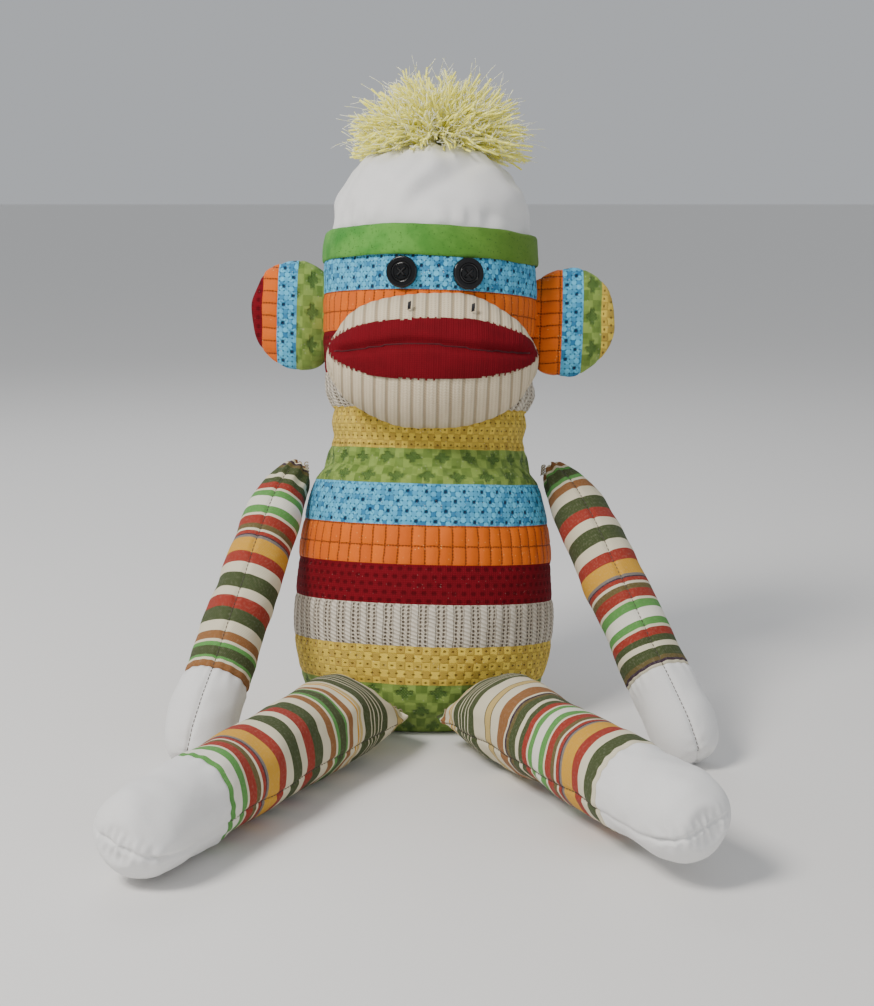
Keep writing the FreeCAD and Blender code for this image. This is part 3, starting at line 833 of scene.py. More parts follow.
TORSO_LOW, TORSO_HIGH = body_span("torso_cover")
HAT_LOW, HAT_HIGH = body_span("hat_crown")
BRIM_LOW, BRIM_HIGH = body_span("hat_brim_band")
TUBE_HEIGHT = HAT_HIGH[2]
TUBE_WIDE = (TORSO_HIGH[0] - TORSO_LOW[0]) / 2
TUBE_DEEP = (TORSO_HIGH[1] - TORSO_LOW[1]) / 2
TUBE_PROFILE = [
    (-0.026, 0.494, 0.480), (0.000, 0.701, 0.704), (0.029, 0.844, 0.848), (0.073, 0.942, 0.944),
    (0.147, 1.000, 1.000), (0.250, 0.994, 0.992), (0.338, 0.948, 0.944), (0.405, 0.883, 0.880),
    (0.452, 0.805, 0.816), (0.488, 0.760, 0.776), (0.523, 0.779, 0.816), (0.573, 0.818, 0.896),
    (0.631, 0.835, 0.960), (0.720, 0.838, 0.992), (0.799, 0.825, 0.984), (0.852, 0.805, 0.960),
    (0.896, 0.786, 0.936), (0.934, 0.727, 0.872), (0.963, 0.617, 0.736), (0.984, 0.455, 0.544),
    (0.996, 0.260, 0.312), (1.000, 0.052, 0.064),
]
PROFILE_MM = [(s * TUBE_HEIGHT, a * TUBE_WIDE, b * TUBE_DEEP) for s, a, b in TUBE_PROFILE]
NECK_CUT = 162.0       # level where the torso piece ends and the head piece starts
NECK_BEND = (138.0, 160.0)  # levels between which the torso's knit follows the neck
HEAD_BEND = (162.0, 185.0)  # levels between which the head's knit leaves the neck
HEAD_SHIFT = 1.3       # how far the head sits to its own right
BODY_COLUMNS = 104     # round the coarse grid that the cloth simulation moves
# stripes from the top: (knit, level of its lower edge)
STRIPES = [
    ("blue", 249.4), ("orange", 227.6), ("red", 204.3), ("cream", 182.8), ("yellow", 160.4), ("green", 138.5),
    ("blue", 115.7), ("orange", 93.4), ("red", 71.7), ("cream", 48.2), ("yellow", 25.9), ("green", -40.0),
]


def ring_angles(cols):
    """Angles round the body from the middle of its back."""
    return math.pi / 2 + np.arange(cols) * TAU / cols


def body_ring_grid(levels, cols, smaller):
    sizes = rows_from_profile(PROFILE_MM, levels)
    ang = ring_angles(cols)
    x = (sizes[:, 1:2] - smaller) * np.cos(ang)[None, :]
    y = (sizes[:, 2:3] - smaller) * np.sin(ang)[None, :]
    return np.dstack([x, y, np.repeat(levels[:, None], cols, axis=1)])


def soften_floor(world, low=0.45, radius=2.2):
    """Presses the underside flat on the floor with a rounded edge."""
    z = world[..., 2] - low
    world[..., 2] = low + 0.5 * (z + np.sqrt(z * z + radius * radius)) - 0.5 * radius * np.exp(-np.abs(z) / 12)
    world[..., 2] = np.maximum(world[..., 2], low)
    return world


def stripe_of(levels):
    """For each level, the index of its knit and the lower edge of its stripe."""
    names, lows = [], []
    for s in levels:
        for name, low in STRIPES:
            if s >= low:
                break
        names.append(KNIT_NAMES.index(name))
        lows.append(low)
    return np.array(names), np.array(lows)


def build_body():
    """The tube from seat to hat as one fine grid, with its levels, u and stripes."""
    low = PROFILE_MM[0][0]
    coarse_levels = arc_levels(PROFILE_MM, low, TUBE_HEIGHT - 0.4, 4.6)
    coarse = body_ring_grid(coarse_levels, BODY_COLUMNS, 1.4)
    pinned = np.zeros(coarse.shape[:2], bool)
    pinned[coarse_levels < 8] = True
    pinned[(coarse_levels > BRIM_LOW[2]) & (coarse_levels < BRIM_HIGH[2])] = True
    pinned[np.abs(coarse_levels - 166) < 4] = True
    pinned[-3:] = True
    soft = inflate(coarse, "body_air", pinned)
    # puckers of the cotton where the pom-pom's thread draws it in, and dents in the hat
    ang = np.repeat(ring_angles(BODY_COLUMNS)[None, :], len(coarse_levels), axis=0)
    lev = np.repeat(coarse_levels[:, None], BODY_COLUMNS, axis=1)
    out = grid_normals(soft)
    move = lumps(soft, 60, 0.7, 3) + lumps(soft, 24, 0.28, 4)
    hat = smooth(BRIM_HIGH[2] - 2, BRIM_HIGH[2] + 8, lev)
    move += hat * (lumps(soft, 40, 1.9, 8) + lumps(soft, 18, 0.75, 9))
    gather = np.exp(-((lev - BRIM_HIGH[2]) / 9) ** 2) * hat
    move += gather * 1.1 * np.sin(ang * 23 + 2 * np.sin(ang * 5))
    pucker = smooth(TUBE_HEIGHT * 0.93, TUBE_HEIGHT * 0.99, lev)
    move += pucker * 0.8 * np.sin(ang * 15 + np.sin(ang * 4))
    front = soft[..., 1] < 0
    slant = soft[..., 0] - 10.0 - 0.9 * (lev - TUBE_HEIGHT * 0.93)
    dent = np.exp(-((slant / 11) ** 2) - ((lev - TUBE_HEIGHT * 0.93) / 13) ** 2) * front
    ridge = np.exp(-(((slant + 17) / 7) ** 2) - ((lev - TUBE_HEIGHT * 0.92) / 15) ** 2) * front
    move += 1.6 * ridge - 4.6 * dent
    soft = soft + out * move[..., None]
    # the head leans a little to its own right and is drawn in under the hat
    on_head = smooth(TUBE_HEIGHT * 0.55, TUBE_HEIGHT * 0.68, lev)
    soft[..., 0] = soft[..., 0] * (1 - 0.017 * on_head) - HEAD_SHIFT * on_head
    on_hat = smooth(BRIM_HIGH[2] - 6, BRIM_HIGH[2] + 3, lev)
    soft[..., :2] *= (1 - 0.035 * on_hat - 0.03 * smooth(BRIM_HIGH[2], TUBE_HEIGHT * 0.96, lev))[..., None]
    soft[..., 2] -= 0.055 * np.maximum(lev - BRIM_HIGH[2], 0)
    rows = int(len(coarse_levels) * 3.1)
    cols = 312
    fine = refine(soft, rows, cols)
    levels = fine_values(coarse_levels, rows)
    out = grid_normals(fine)
    u = np.arange(cols + 1) * AROUND / cols
    kinds, lows = stripe_of(levels)
    relief = np.zeros((rows, cols))
    for k, name in enumerate(KNIT_NAMES):
        pick = kinds == k
        v = (levels - lows)[pick][:, None]
        relief[pick] = weave_height(name, u[None, :-1], v, AROUND)
    # a shallow valley along every seam between stripes
    edge = np.min(np.abs(levels[:, None] - np.array([low for _, low in STRIPES])[None, :]), axis=1)
    relief -= (0.55 * np.exp(-(edge / 1.5) ** 2))[:, None]
    relief *= (levels < BRIM_LOW[2] + 4)[:, None]
    fine = fine + out * relief[..., None]
    return fine, levels, u, kinds, lows


def knit_object(name, world, u, v, row_kind, row_base):
    """Tube piece with one knit per row and v counted from each row's own stripe edge."""
    rows, cols, _ = world.shape
    obj = grid_object(name, world, u, v, KNIT_LIST, row_kind)
    layer = obj.data.uv_layers["mm"].data
    uv = np.empty(len(layer) * 2, dtype=np.float32)
    layer.foreach_get("uv", uv)
    uv = uv.reshape(-1, 2)
    quads = (rows - 1) * cols
    uv[: quads * 4, 1] -= np.repeat(row_base, cols * 4)
    layer.foreach_set("uv", uv.ravel())
    return obj


body_grid, body_levels, body_u, body_kinds, body_lows = build_body()


def body_piece(name, low, high):
    """The part of the body tube between two levels."""
    pick = np.nonzero((body_levels >= low) & (body_levels <= high))[0]
    world = soften_floor(to_world(body_grid[pick]))
    return knit_object(name, world, body_u, body_levels[pick], body_kinds[pick][:-1], body_lows[pick][:-1])


torso = body_piece("torso_knit", body_levels[0], NECK_CUT)
# the ends of both bends, in metres on the body's axis
NECK_POINTS = [to_world(np.array([0, 0, level])) * MM for level in (*NECK_BEND, *HEAD_BEND)]
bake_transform(torso)
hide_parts("torso_cover", "torso_stuffing", "neck_cover", "neck_stuffing")

head_low = body_levels[body_levels <= NECK_CUT].max() - 0.01
head = body_piece("head_knit", head_low, BRIM_LOW[2] + 4)
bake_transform(head)
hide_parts("head_cover", "head_stuffing")


def build_hat():
    pick = np.nonzero(body_levels >= BRIM_LOW[2] + 2)[0]
    grid = body_grid[pick]
    obj = grid_object("hat_cotton", to_world(grid), body_u, run_along(grid[:, 0]), [WHITE])
    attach(obj, "head")
    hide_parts("hat_crown")


build_hat()


BAND_LENGTH = 400.0    # nominal length of the hat's band, for its cloth pattern


def build_brim():
    """A folded strip of batik round the hat, with soft rolled edges and a slight waver."""
    cols = 260
    low, high = BRIM_LOW[2], BRIM_HIGH[2]
    middle = (low + high) / 2
    half = (high - low) / 2
    ring = []
    # outline of the strip's section: (share of half height, distance proud of the tube)
    outline = [(-0.86, -0.6), (-1.0, 0.3), (-0.97, 1.0), (-0.84, 1.6), (-0.55, 1.95), (0.0, 2.1), (0.55, 1.95),
               (0.84, 1.7), (0.97, 1.1), (1.0, 0.3), (0.86, -0.6)]
    ang = ring_angles(cols)
    for share, proud in outline:
        level = middle + share * half
        waver = 0.45 * np.sin(ang * 3 + 1) + 0.3 * np.sin(ang * 7 + 2)
        size = rows_from_profile(PROFILE_MM, np.array([level]))[0]
        x = (size[1] * 0.983 + proud) * np.cos(ang) - HEAD_SHIFT
        y = (size[2] + proud) * np.sin(ang)
        ring.append(np.column_stack([x, y, level + waver * (0.4 + 0.6 * abs(share))]))
    grid = np.array(ring)
    grid = catmull(grid, np.linspace(0, len(grid) - 1, 34), False)
    out = grid_normals(grid)
    grid += out * (lumps(grid, 30, 0.25, 21) + lumps(grid, 11, 0.1, 22))[..., None]
    u = np.arange(cols + 1) * BAND_LENGTH / cols - BAND_LENGTH / 2
    obj = grid_object("hat_band", to_world(grid), u, run_along(grid[:, 0]), [BATIK], caps=(False, False))
    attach(obj, "head")
    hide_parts("hat_brim_band")


build_brim()

# ---------------------------------------------------------------- muzzle and lips

MUZZLE_LOW, MUZZLE_HIGH = body_span("muzzle_cover")
LIPS_LOW, LIPS_HIGH = body_span("lips")
# the ellipsoid's back is hidden in the head; its widest plane is where the lips' skin starts
MUZZLE_CENTRE = np.array([(MUZZLE_LOW[0] + MUZZLE_HIGH[0]) / 2, LIPS_HIGH[1],
                          (MUZZLE_LOW[2] + MUZZLE_HIGH[2]) / 2])
MUZZLE_HALF = np.array([(MUZZLE_HIGH[0] - MUZZLE_LOW[0]) / 2, MUZZLE_CENTRE[1] - MUZZLE_LOW[1],
                        (MUZZLE_HIGH[2] - MUZZLE_LOW[2]) / 2])
MUZZLE_HALF[0] -= 1.4
LIPS_LEVEL = (LIPS_LOW[2] + LIPS_HIGH[2]) / 2
LIPS_HALF = np.array([(LIPS_HIGH[0] - LIPS_LOW[0]) / 2 - 1.2, (LIPS_HIGH[2] - LIPS_LOW[2]) / 2])


def ball_grid(centre, half, rows, cols, smaller):
    """Ellipsoid as a tube along X, from its left end to its right end, columns starting at the back."""
    tilt = np.linspace(-0.985, 0.985, rows) * math.pi / 2
    ang = ring_angles(cols)
    h = half - smaller
    x = centre[0] + h[0] * np.sin(tilt)[:, None] * np.ones(cols)
    # columns run over the top to the front and back under the chin
    y = centre[1] + h[1] * np.cos(tilt)[:, None] * np.sin(ang)[None, :]
    z = centre[2] - h[2] * np.cos(tilt)[:, None] * np.cos(ang)[None, :]
    return np.dstack([x, y, z])


def mouth_line(x):
    """Level of the crease between the lips."""
    t = (x - MUZZLE_CENTRE[0]) / LIPS_HALF[0]
    return LIPS_LEVEL - 1.0 + 3.6 * np.cos(np.clip(t, -1, 1) * math.pi / 2) ** 2 - 0.8 * np.sin(t * 5)


def lips_share(points):
    """1 on the outline of the lips, 0 at their middle."""
    x = (points[..., 0] - MUZZLE_CENTRE[0]) / (LIPS_HALF[0] + 1.0)
    rise = 1.5 * np.sin(points[..., 0] / 19.0)
    z = (points[..., 2] - LIPS_LEVEL - rise * 0.4) / LIPS_HALF[1]
    # pointed corners: the outline is fuller than an ellipse in the middle
    return np.sqrt(z * z + np.abs(x) ** 2.3)


MUZZLE_GRID = (44, 60)  # rows and columns of the grid that the cloth simulation moves
MUZZLE_GIRTH = TAU * 43.0


def build_muzzle():
    coarse = ball_grid(MUZZLE_CENTRE, MUZZLE_HALF, *MUZZLE_GRID, 1.2)
    pinned = np.zeros(coarse.shape[:2], bool)
    pinned[coarse[..., 1] > MUZZLE_CENTRE[1] + 6] = True
    pinned[:2] = True
    pinned[-2:] = True
    soft = inflate(coarse, "muzzle_air", pinned, cap=1.6)
    out = grid_normals(soft)
    soft = soft + out * (lumps(soft, 45, 0.5, 31))[..., None]
    rows, cols = 176, 230
    fine = refine(soft, rows, cols)
    out = grid_normals(fine)
    # arc length along the mouth's direction gives the ribs their even spacing
    along = run_along(fine[:, cols // 2])
    along -= along[-1] / 2
    rib = (np.cos(along / RIB_PITCH * TAU) * (1 - smooth(*RIB_FADE, np.abs(along))))[:, None]
    share = lips_share(fine)
    in_front = fine[..., 1] < MUZZLE_CENTRE[1] + 1
    upper = np.exp(-((fine[..., 2] - mouth_line(fine[..., 0])) / 2.6) ** 2)
    cover = fine + out * (0.14 * rib - 4.2 * (1 - smooth(0.82, 0.95, share)) * in_front)[..., None]
    uu = np.repeat(along[:, None], cols + 1, axis=1)
    ring = np.arange(cols + 1) * MUZZLE_GIRTH / cols
    vv = np.repeat(ring[None, :], rows, axis=0)
    obj = grid_object("muzzle_knit", to_world(cover), uu, vv, [MUZZLE])
    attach(obj, "head")
    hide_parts("muzzle_cover", "muzzle_stuffing")

    # lips: the same skin, raised, with a stepped knitted border and a fold between them
    r = np.arange(rows)
    step = 0.035 * (np.mod(r // 2, 2) - 0.5)[:, None] + 0.02 * np.sin(r * 1.7)[:, None]
    keep_point = (share + step < 1.0) & in_front
    keep = keep_point[:-1] & keep_point[1:]
    keep = keep & np.roll(keep, -1, axis=1)
    swell = np.sqrt(np.clip(1 - share, 0, 1))
    valley = upper * (1 - smooth(0.80, 1.0, share))
    lift = 0.55 + 2.1 * swell - 3.6 * valley + 0.12 * np.cos(along / 3.3 * TAU)[:, None]
    lift = np.maximum(lift + lumps(fine, 22, 0.25, 33), -2.2)
    lips = grid_object("lips_knit", to_world(fine + out * lift[..., None]), uu, vv, [LIP_RED], None, keep,
                       caps=(False, False))
    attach(lips, "head")
    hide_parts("lips")

    # the thread that holds the fold, lying at the bottom of the crease
    front = []
    for k in range(rows):
        line = fine[k]
        ahead = np.nonzero(line[:, 1] < MUZZLE_CENTRE[1])[0]
        if len(ahead) < 3 or abs(line[0, 0] - MUZZLE_CENTRE[0]) > LIPS_HALF[0] * 0.93:
            continue
        best = ahead[np.argmin(np.abs(line[ahead, 2] - mouth_line(line[ahead, 0])))]
        front.append(line[best] + out[k, best] * (lift[k, best] + 0.25))
    path = to_world(np.array(front)[::2])
    stitch = tubes("mouth_thread", [path], [0.34], 6, [RED_THREAD])
    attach(stitch, "head")
    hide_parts("mouth_stitch")


build_muzzle()

# nostrils: three turns of black thread each, standing upright
for side in ("left", "right"):
    low, high = body_span("nostril_knot_" + side)
    centre = (low + high) / 2
    turns = []
    for k, offset in enumerate((-0.55, 0.0, 0.55)):
        t = np.linspace(-1, 1, 9)
        bow = 0.9 * (1 - t * t)
        turns.append(to_world(np.column_stack([
            centre[0] + offset + 0.1 * t, centre[1] + 1.0 - bow, centre[2] + t * 2.0 + 0.25 * (k - 1)])))
    knot = tubes("nostril_stitches_" + side, turns, [0.42] * 3, 8, [BLACK_THREAD])
    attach(knot, "head")
    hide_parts("nostril_knot_" + side)

for side in ("left", "right"):
    for node, material in (("eye_button_", BUTTON), ("eye_thread_", BLACK_KNOT)):
        data = frame["nodes"][node + side].data
        data.materials.clear()
        data.materials.append(material)

# ---------------------------------------------------------------- ears

# (knit, distance from the head's side where the stripe ends, as a share of the ear's reach)
EAR_STRIPES = {
    "left": [("green", 0.34), ("blue", 0.61), ("orange", 0.85), ("red", 1.1)],
    "right": [("orange", 0.28), ("blue", 0.56), ("green", 0.80), ("yellow", 1.1)],
}


def build_ear(side, sign):
    low, high = body_span("ear_cover_" + side)
    inner = low[0] if sign > 0 else high[0]
    outer = (high[0] if sign > 0 else low[0]) + 1.2 + sign * 1.8
    reach = abs(outer - inner)
    centre = (low + high) / 2
    half = (high - low) / 2
    # the ear is a puffed disc; its widest line is well outside its root
    half_x = reach * 0.645
    middle = outer - sign * half_x
    rows, cols = 26, 40
    tilt = np.linspace(-math.pi / 2 + 0.35, math.pi / 2 - 0.03, rows)
    ang = math.pi / 2 + np.arange(cols) * TAU / cols * -sign
    x = middle + sign * half_x * np.sin(tilt)[:, None] * np.ones(cols)
    round_off = np.cos(tilt)[:, None] ** 0.9
    y = centre[1] + (half[1] - 0.6) * round_off * np.sin(ang)[None, :]
    z = centre[2] + (half[2] - 0.8) * round_off * np.cos(ang)[None, :]
    coarse = np.dstack([x, y, z])
    pinned = np.zeros((rows, cols), bool)
    pinned[:3] = True
    pinned[-1:] = True
    soft = inflate(coarse, "ear_air_" + side, pinned, cap=1.4)
    out = grid_normals(soft)
    soft = soft + out * lumps(soft, 20, 0.4, 41 + sign)[..., None]
    rows, cols = 78, 128
    fine = refine(soft, rows, cols)
    out = grid_normals(fine)
    # a seam runs round the rim between the front and the back of the ear
    rim = np.abs(fine[..., 1] - centre[1])
    offset = -0.7 * np.exp(-(rim / 0.9) ** 2)
    share = np.abs(fine[:, cols // 2, 0] - inner) / reach
    share = np.where((fine[:, cols // 2, 0] - inner) * sign < 0, -share, share)
    names, base = [], []
    for value in share:
        low_edge = 0.0
        for name, high_edge in EAR_STRIPES[side]:
            if value <= high_edge:
                break
            low_edge = high_edge
        names.append(KNIT_NAMES.index(name))
        base.append(low_edge)
    names, base = np.array(names), np.array(base)
    edges = np.array([e for _, e in EAR_STRIPES[side]])
    near = np.min(np.abs(share[:, None] - edges[None, :]), axis=1) * reach
    offset = offset - (0.5 * np.exp(-(near / 1.0) ** 2))[:, None]
    u = np.concatenate([fine[..., 2], fine[:, :1, 2]], axis=1)
    for k, name in enumerate(KNIT_NAMES):
        pick = names == k
        from_edge = ((share - base) * reach)[pick][:, None]
        offset[pick] += 0.8 * weave_height(name, u[pick, :-1], from_edge, AROUND)
    fine = fine + out * offset[..., None]
    v = np.repeat((share * reach)[:, None], cols + 1, axis=1)
    # the outer side of the ear sits a little higher than its root
    fine[..., 2] += 0.07 * np.abs(fine[..., 0] - inner)
    obj = knit_object("ear_knit_" + side, to_world(fine), u, v, names[:-1], (base * reach)[:-1])
    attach(obj, "head")
    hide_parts("ear_cover_" + side, "ear_stuffing_" + side)


build_ear("left", -1)
build_ear("right", 1)

# ---------------------------------------------------------------- limbs

ARM_PROFILE = [
    (-0.012, 6.0, 0.520, 0.200), (0.000, 5.6, 0.700, 0.440), (0.025, 4.6, 0.830, 0.640),
    (0.066, 2.6, 0.920, 0.800),
    (0.126, 0.8, 0.965, 0.920), (0.212, 0.0, 0.985, 0.965), (0.454, 0.0, 1.005, 1.000),
    (0.736, 0.0, 1.054, 1.054), (0.832, 0.0, 1.097, 1.081), (0.898, 0.0, 1.092, 1.081),
    (0.943, 0.0, 0.973, 0.962), (0.976, 0.0, 0.735, 0.724), (0.993, 0.0, 0.432, 0.430),
    (1.000, 0.0, 0.135, 0.134),
]
LEG_PROFILE = [
    (0.000, 0.0, 1.075, 0.108), (0.032, 0.0, 1.140, 0.387), (0.081, 0.0, 1.161, 0.667),
    (0.154, 0.0, 1.153, 0.903), (0.243, 0.0, 1.110, 1.024), (0.404, 0.0, 1.058, 1.024),
    (0.566, 0.0, 1.028, 1.011), (0.740, 0.0, 1.002, 0.989), (0.829, 0.0, 0.981, 0.972),
    (0.910, 0.0, 0.963, 0.955), (0.954, 0.0, 0.852, 0.843), (0.982, 0.0, 0.624, 0.619),
    (0.996, 0.0, 0.344, 0.342), (1.000, 0.0, 0.108, 0.107),
]
ARM_CUFF = 146.0       # distances from the root to the cuff
LEG_CUFF = 183.0
HAND_SHARE = 0.868     # the hand's middle, as a share of the arm's length
# width, length, where the cuff is, and the hinge in the limb's own frame
LIMBS = {
    "arm": (37.0, 198.3, ARM_CUFF, np.array([10.5, 0.0, -3.1]), ARM_PROFILE),
    "leg": (46.5, 247.4, LEG_CUFF, np.array([0.0, 0.0, -2.4]), LEG_PROFILE),
}
# distances from the end of the plain stripes to the cuff, along the woven repeat
LEFT_LEG_AT_CUFF = 28.0
RIGHT_LEG_AT_CUFF = 95.8
# distance along the woven repeat at the limb's root, and the way it runs
FABRIC = {
    "left_arm": (REPEAT_LENGTH - ARM_CUFF, 1), "right_arm": (PLAIN_LENGTH + ARM_CUFF, -1),
    "left_leg": (PLAIN_LENGTH + LEFT_LEG_AT_CUFF + LEG_CUFF, -1),
    "right_leg": (PLAIN_LENGTH + RIGHT_LEG_AT_CUFF - LEG_CUFF, 1),
}


def limb_frame(kind, side):
    """Basis (columns X, Y, Z) and root of a limb, in millimetres, from its joints and its end piece."""
    _, length, _, hinge, _ = LIMBS[kind]
    joint = JOINTS["%s_%s" % (side, "shoulder_lift" if kind == "arm" else "hip_lift")]
    across = -unit(joint["axis"])
    pivot = np.array(joint["pos_m"], float) / MM
    end = node_points(("hand_cover_" if kind == "arm" else "foot_cover_") + side)
    middle = (end.min(axis=0) + end.max(axis=0)) / 2
    way = middle - pivot
    way = unit(way - way.dot(across) * across)
    turn = math.atan2(hinge[0], length * HAND_SHARE - hinge[2]) if kind == "arm" else 0.0
    normal = np.cross(across, way)
    z = math.cos(turn) * way + math.sin(turn) * normal
    x = np.cross(across, z)
    basis = np.column_stack([x, across, z])
    return basis, pivot - basis @ hinge


def limb_rings(kind, levels, cols, smaller):
    width, length, _, _, profile = LIMBS[kind]
    scaled = [(s * length, off, a * width / 2, b * width / 2) for s, off, a, b in profile]
    sizes = rows_from_profile(scaled, levels)
    ang = np.arange(cols) * TAU / cols
    a = np.maximum(sizes[:, 2:3] - smaller, 0.8)
    b = np.maximum(sizes[:, 3:4] - smaller, 0.8)
    # angle 0 is local +Y, then round through -X
    y = a * np.cos(ang)[None, :]
    x = sizes[:, 1:2] - b * np.sin(ang)[None, :]
    return np.dstack([x, y, np.repeat(levels[:, None], cols, axis=1)])


SEAM_START = 13.0      # where the seam's dashes start, from the root
DASH_LENGTH = 1.7
DASH_SPACING = 2.6


def build_limb(kind, side, sign, seed):
    width, length, cuff, _, profile = LIMBS[kind]
    basis, root = limb_frame(kind, side)
    table = [(s * length, a * width / 2) for s, _, a, _ in profile]
    levels = arc_levels(table, table[0][0], table[-1][0] - 0.1, 4.4)
    cols = 30 if kind == "arm" else 36
    coarse = limb_rings(kind, levels, cols, 1.0)
    pinned = np.zeros(coarse.shape[:2], bool)
    pinned[:3] = True
    pinned[-2:] = True
    soft = inflate(coarse, "%s_air_%s" % (kind, side), pinned, cap=1.4)
    rows = int(len(levels) * 3.2)
    fine_cols = 96 if kind == "arm" else 120
    fine = refine(soft, rows, fine_cols)
    level = fine_values(levels, rows)[:, None] * np.ones(fine_cols)
    out = grid_normals(fine)
    ang = (np.arange(fine_cols) * TAU / fine_cols)[None, :] * np.ones((rows, 1))
    seam_angle = math.pi if sign > 0 else 0.0
    away = np.abs((ang - seam_angle + math.pi) % TAU - math.pi)
    radius = width / 2
    arc = away * radius
    end_part = smooth(cuff - 2, cuff + 6, level)
    move = lumps(fine, 34, 0.55, seed) + lumps(fine, 14, 0.22, seed + 1)
    ripple = np.sin(level / 7.5 + 2.4 * np.sin(ang + seed)) * np.exp(-((arc - 6) / 14) ** 2)
    move += (1 - end_part) * 0.35 * ripple
    # drawn folds near the sewn root and along the cuff seam
    move += np.exp(-(level / 16) ** 2) * 0.9 * np.sin(ang * 9 + seed)
    if kind == "arm":
        # the sewn root is drawn in, which leaves the shoulder room to swing
        move -= 1.5 * np.exp(-(level / 36) ** 2)
    move -= 0.9 * np.exp(-((level - cuff) / 1.3) ** 2)
    move += 0.35 * np.exp(-((level - cuff) / 7) ** 2) * np.sin(ang * 17 + 2 * np.sin(ang * 3))
    # seam down the limb and over its end, with puckers beside it on the cotton
    fade = smooth(0, 14, level)
    groove = 1.15 * np.exp(-(arc / 1.25) ** 2) * (1 - smooth(length * 0.95, length * 0.99, level))
    move -= groove * fade
    move += fade * 0.28 * np.sin(level / 3.1) * np.exp(-((arc - 3.2) / 2.6) ** 2)
    flat = np.abs(fine[..., 0])
    tip = smooth(length * 0.90, length * 0.955, level)
    toward = smooth(-radius * 0.75, -radius * 0.35, fine[..., 1] * -sign)
    crease = np.exp(-(flat / 1.1) ** 2) * tip * toward
    move -= 1.3 * crease
    pucker = np.sin(fine[..., 1] / 4.2 * TAU + 1.2 * np.sin(fine[..., 1] / 7.0))
    share = 1.0 if kind == "leg" else 0.6
    move += 0.55 * pucker * np.exp(-((flat - 3.0) / 3.2) ** 2) * tip * toward * share
    fine = fine + out * move[..., None]
    world = to_world(fine, basis, root)
    world[..., 2] = np.maximum(world[..., 2], 0.5)
    u = np.arange(fine_cols + 1) * radius * TAU / fine_cols
    levels = level[:, 0]
    split = int(np.argmin(np.abs(levels - cuff)))
    start, way = FABRIC["%s_%s" % (side, kind)]
    fabric = start + way * levels
    sleeve_name = ("sleeve_" if kind == "arm" else "leg_sleeve_") + side
    end_name = ("hand_cover_" if kind == "arm" else "foot_cover_") + side
    stuffing = kind + "_stuffing_" + side
    sleeve = grid_object(kind + "_cloth_" + side, world[: split + 1], u, fabric[: split + 1], [STRIPED])
    cotton = grid_object(("hand" if kind == "arm" else "foot") + "_cloth_" + side, world[split:], u,
                         levels[split:], [WHITE])
    for obj, nodes, slot, fill in ((sleeve, (sleeve_name, stuffing), "striped_cotton", 0.9),
                                   (cotton, (end_name,), "white_cotton", 0.95)):
        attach(obj, "%s_%s" % (side, kind))
        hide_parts(*nodes)

    # sewing stitches: short dark dashes in the groove, over the end as well
    column = int(round(seam_angle / TAU * fine_cols)) % fine_cols
    line = world[:, column] + (out[:, column] @ basis.T) * 0.35
    run = run_along(line)
    dashes = []
    at = SEAM_START
    last = run[-1] - 6 if kind == "arm" else run[split] - 3
    while at < last:
        t = np.linspace(at, at + DASH_LENGTH, 5)
        dash = np.column_stack([np.interp(t, run, line[:, k]) for k in range(3)])
        lift = np.array([-0.3, 0.0, 0.08, 0.0, -0.3])
        normal = out[np.searchsorted(run, at) % rows, column] @ basis.T
        dashes.append(dash + lift[:, None] * normal)
        at += DASH_SPACING
    seam = tubes("%s_seam_%s" % (kind, side), dashes, [0.21] * len(dashes), 6, [SEAM_THREAD])
    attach(seam, "%s_%s" % (side, kind))
    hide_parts("%s_seam_thread_%s" % (kind, side))

    # the row of hand stitches that hangs the limb on the body
    stitch_node = ("shoulder_stitch_" if kind == "arm" else "hip_stitch_") + side
    bar = node_points(stitch_node)
    centre = (bar.min(axis=0) + bar.max(axis=0)) / 2
    reach = 12.0 if kind == "arm" else 40.0
    count = 4 if kind == "arm" else 11
    turns = []
    for k in range(count):
        t = np.linspace(0, TAU, 13)
        lead = (k + t / TAU) / count - 0.5
        ring = centre + np.outer(lead * reach, basis[:, 1]) \
            + np.outer(1.05 * np.cos(t), basis[:, 0]) + np.outer(1.05 * np.sin(t), basis[:, 2])
        turns.append(ring)
    coil = tubes(("shoulder_sewing_" if kind == "arm" else "hip_sewing_") + side, turns, [0.38] * count, 6,
                 [PALE_THREAD])
    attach(coil, "%s_%s" % (side, "shoulder" if kind == "arm" else "hip"))
    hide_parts(stitch_node)


for index, (side, sign) in enumerate((("left", -1), ("right", 1))):
    build_limb("arm", side, sign, 50 + 10 * index)
    build_limb("leg", side, sign, 70 + 10 * index)

# ---------------------------------------------------------------- pom-pom

STRANDS = 820
FIBRES_PER_STRAND = 6
WISPS = 60


def dome_way(rng, lowest):
    """A random direction whose upward part is at least lowest, and its sideways length."""
    up = rng.uniform(lowest, 1.0)
    turn = rng.uniform(0, TAU)
    flat = math.sqrt(max(0.0, 1 - up * up))
    return np.array([flat * math.cos(turn), flat * math.sin(turn), up]), flat


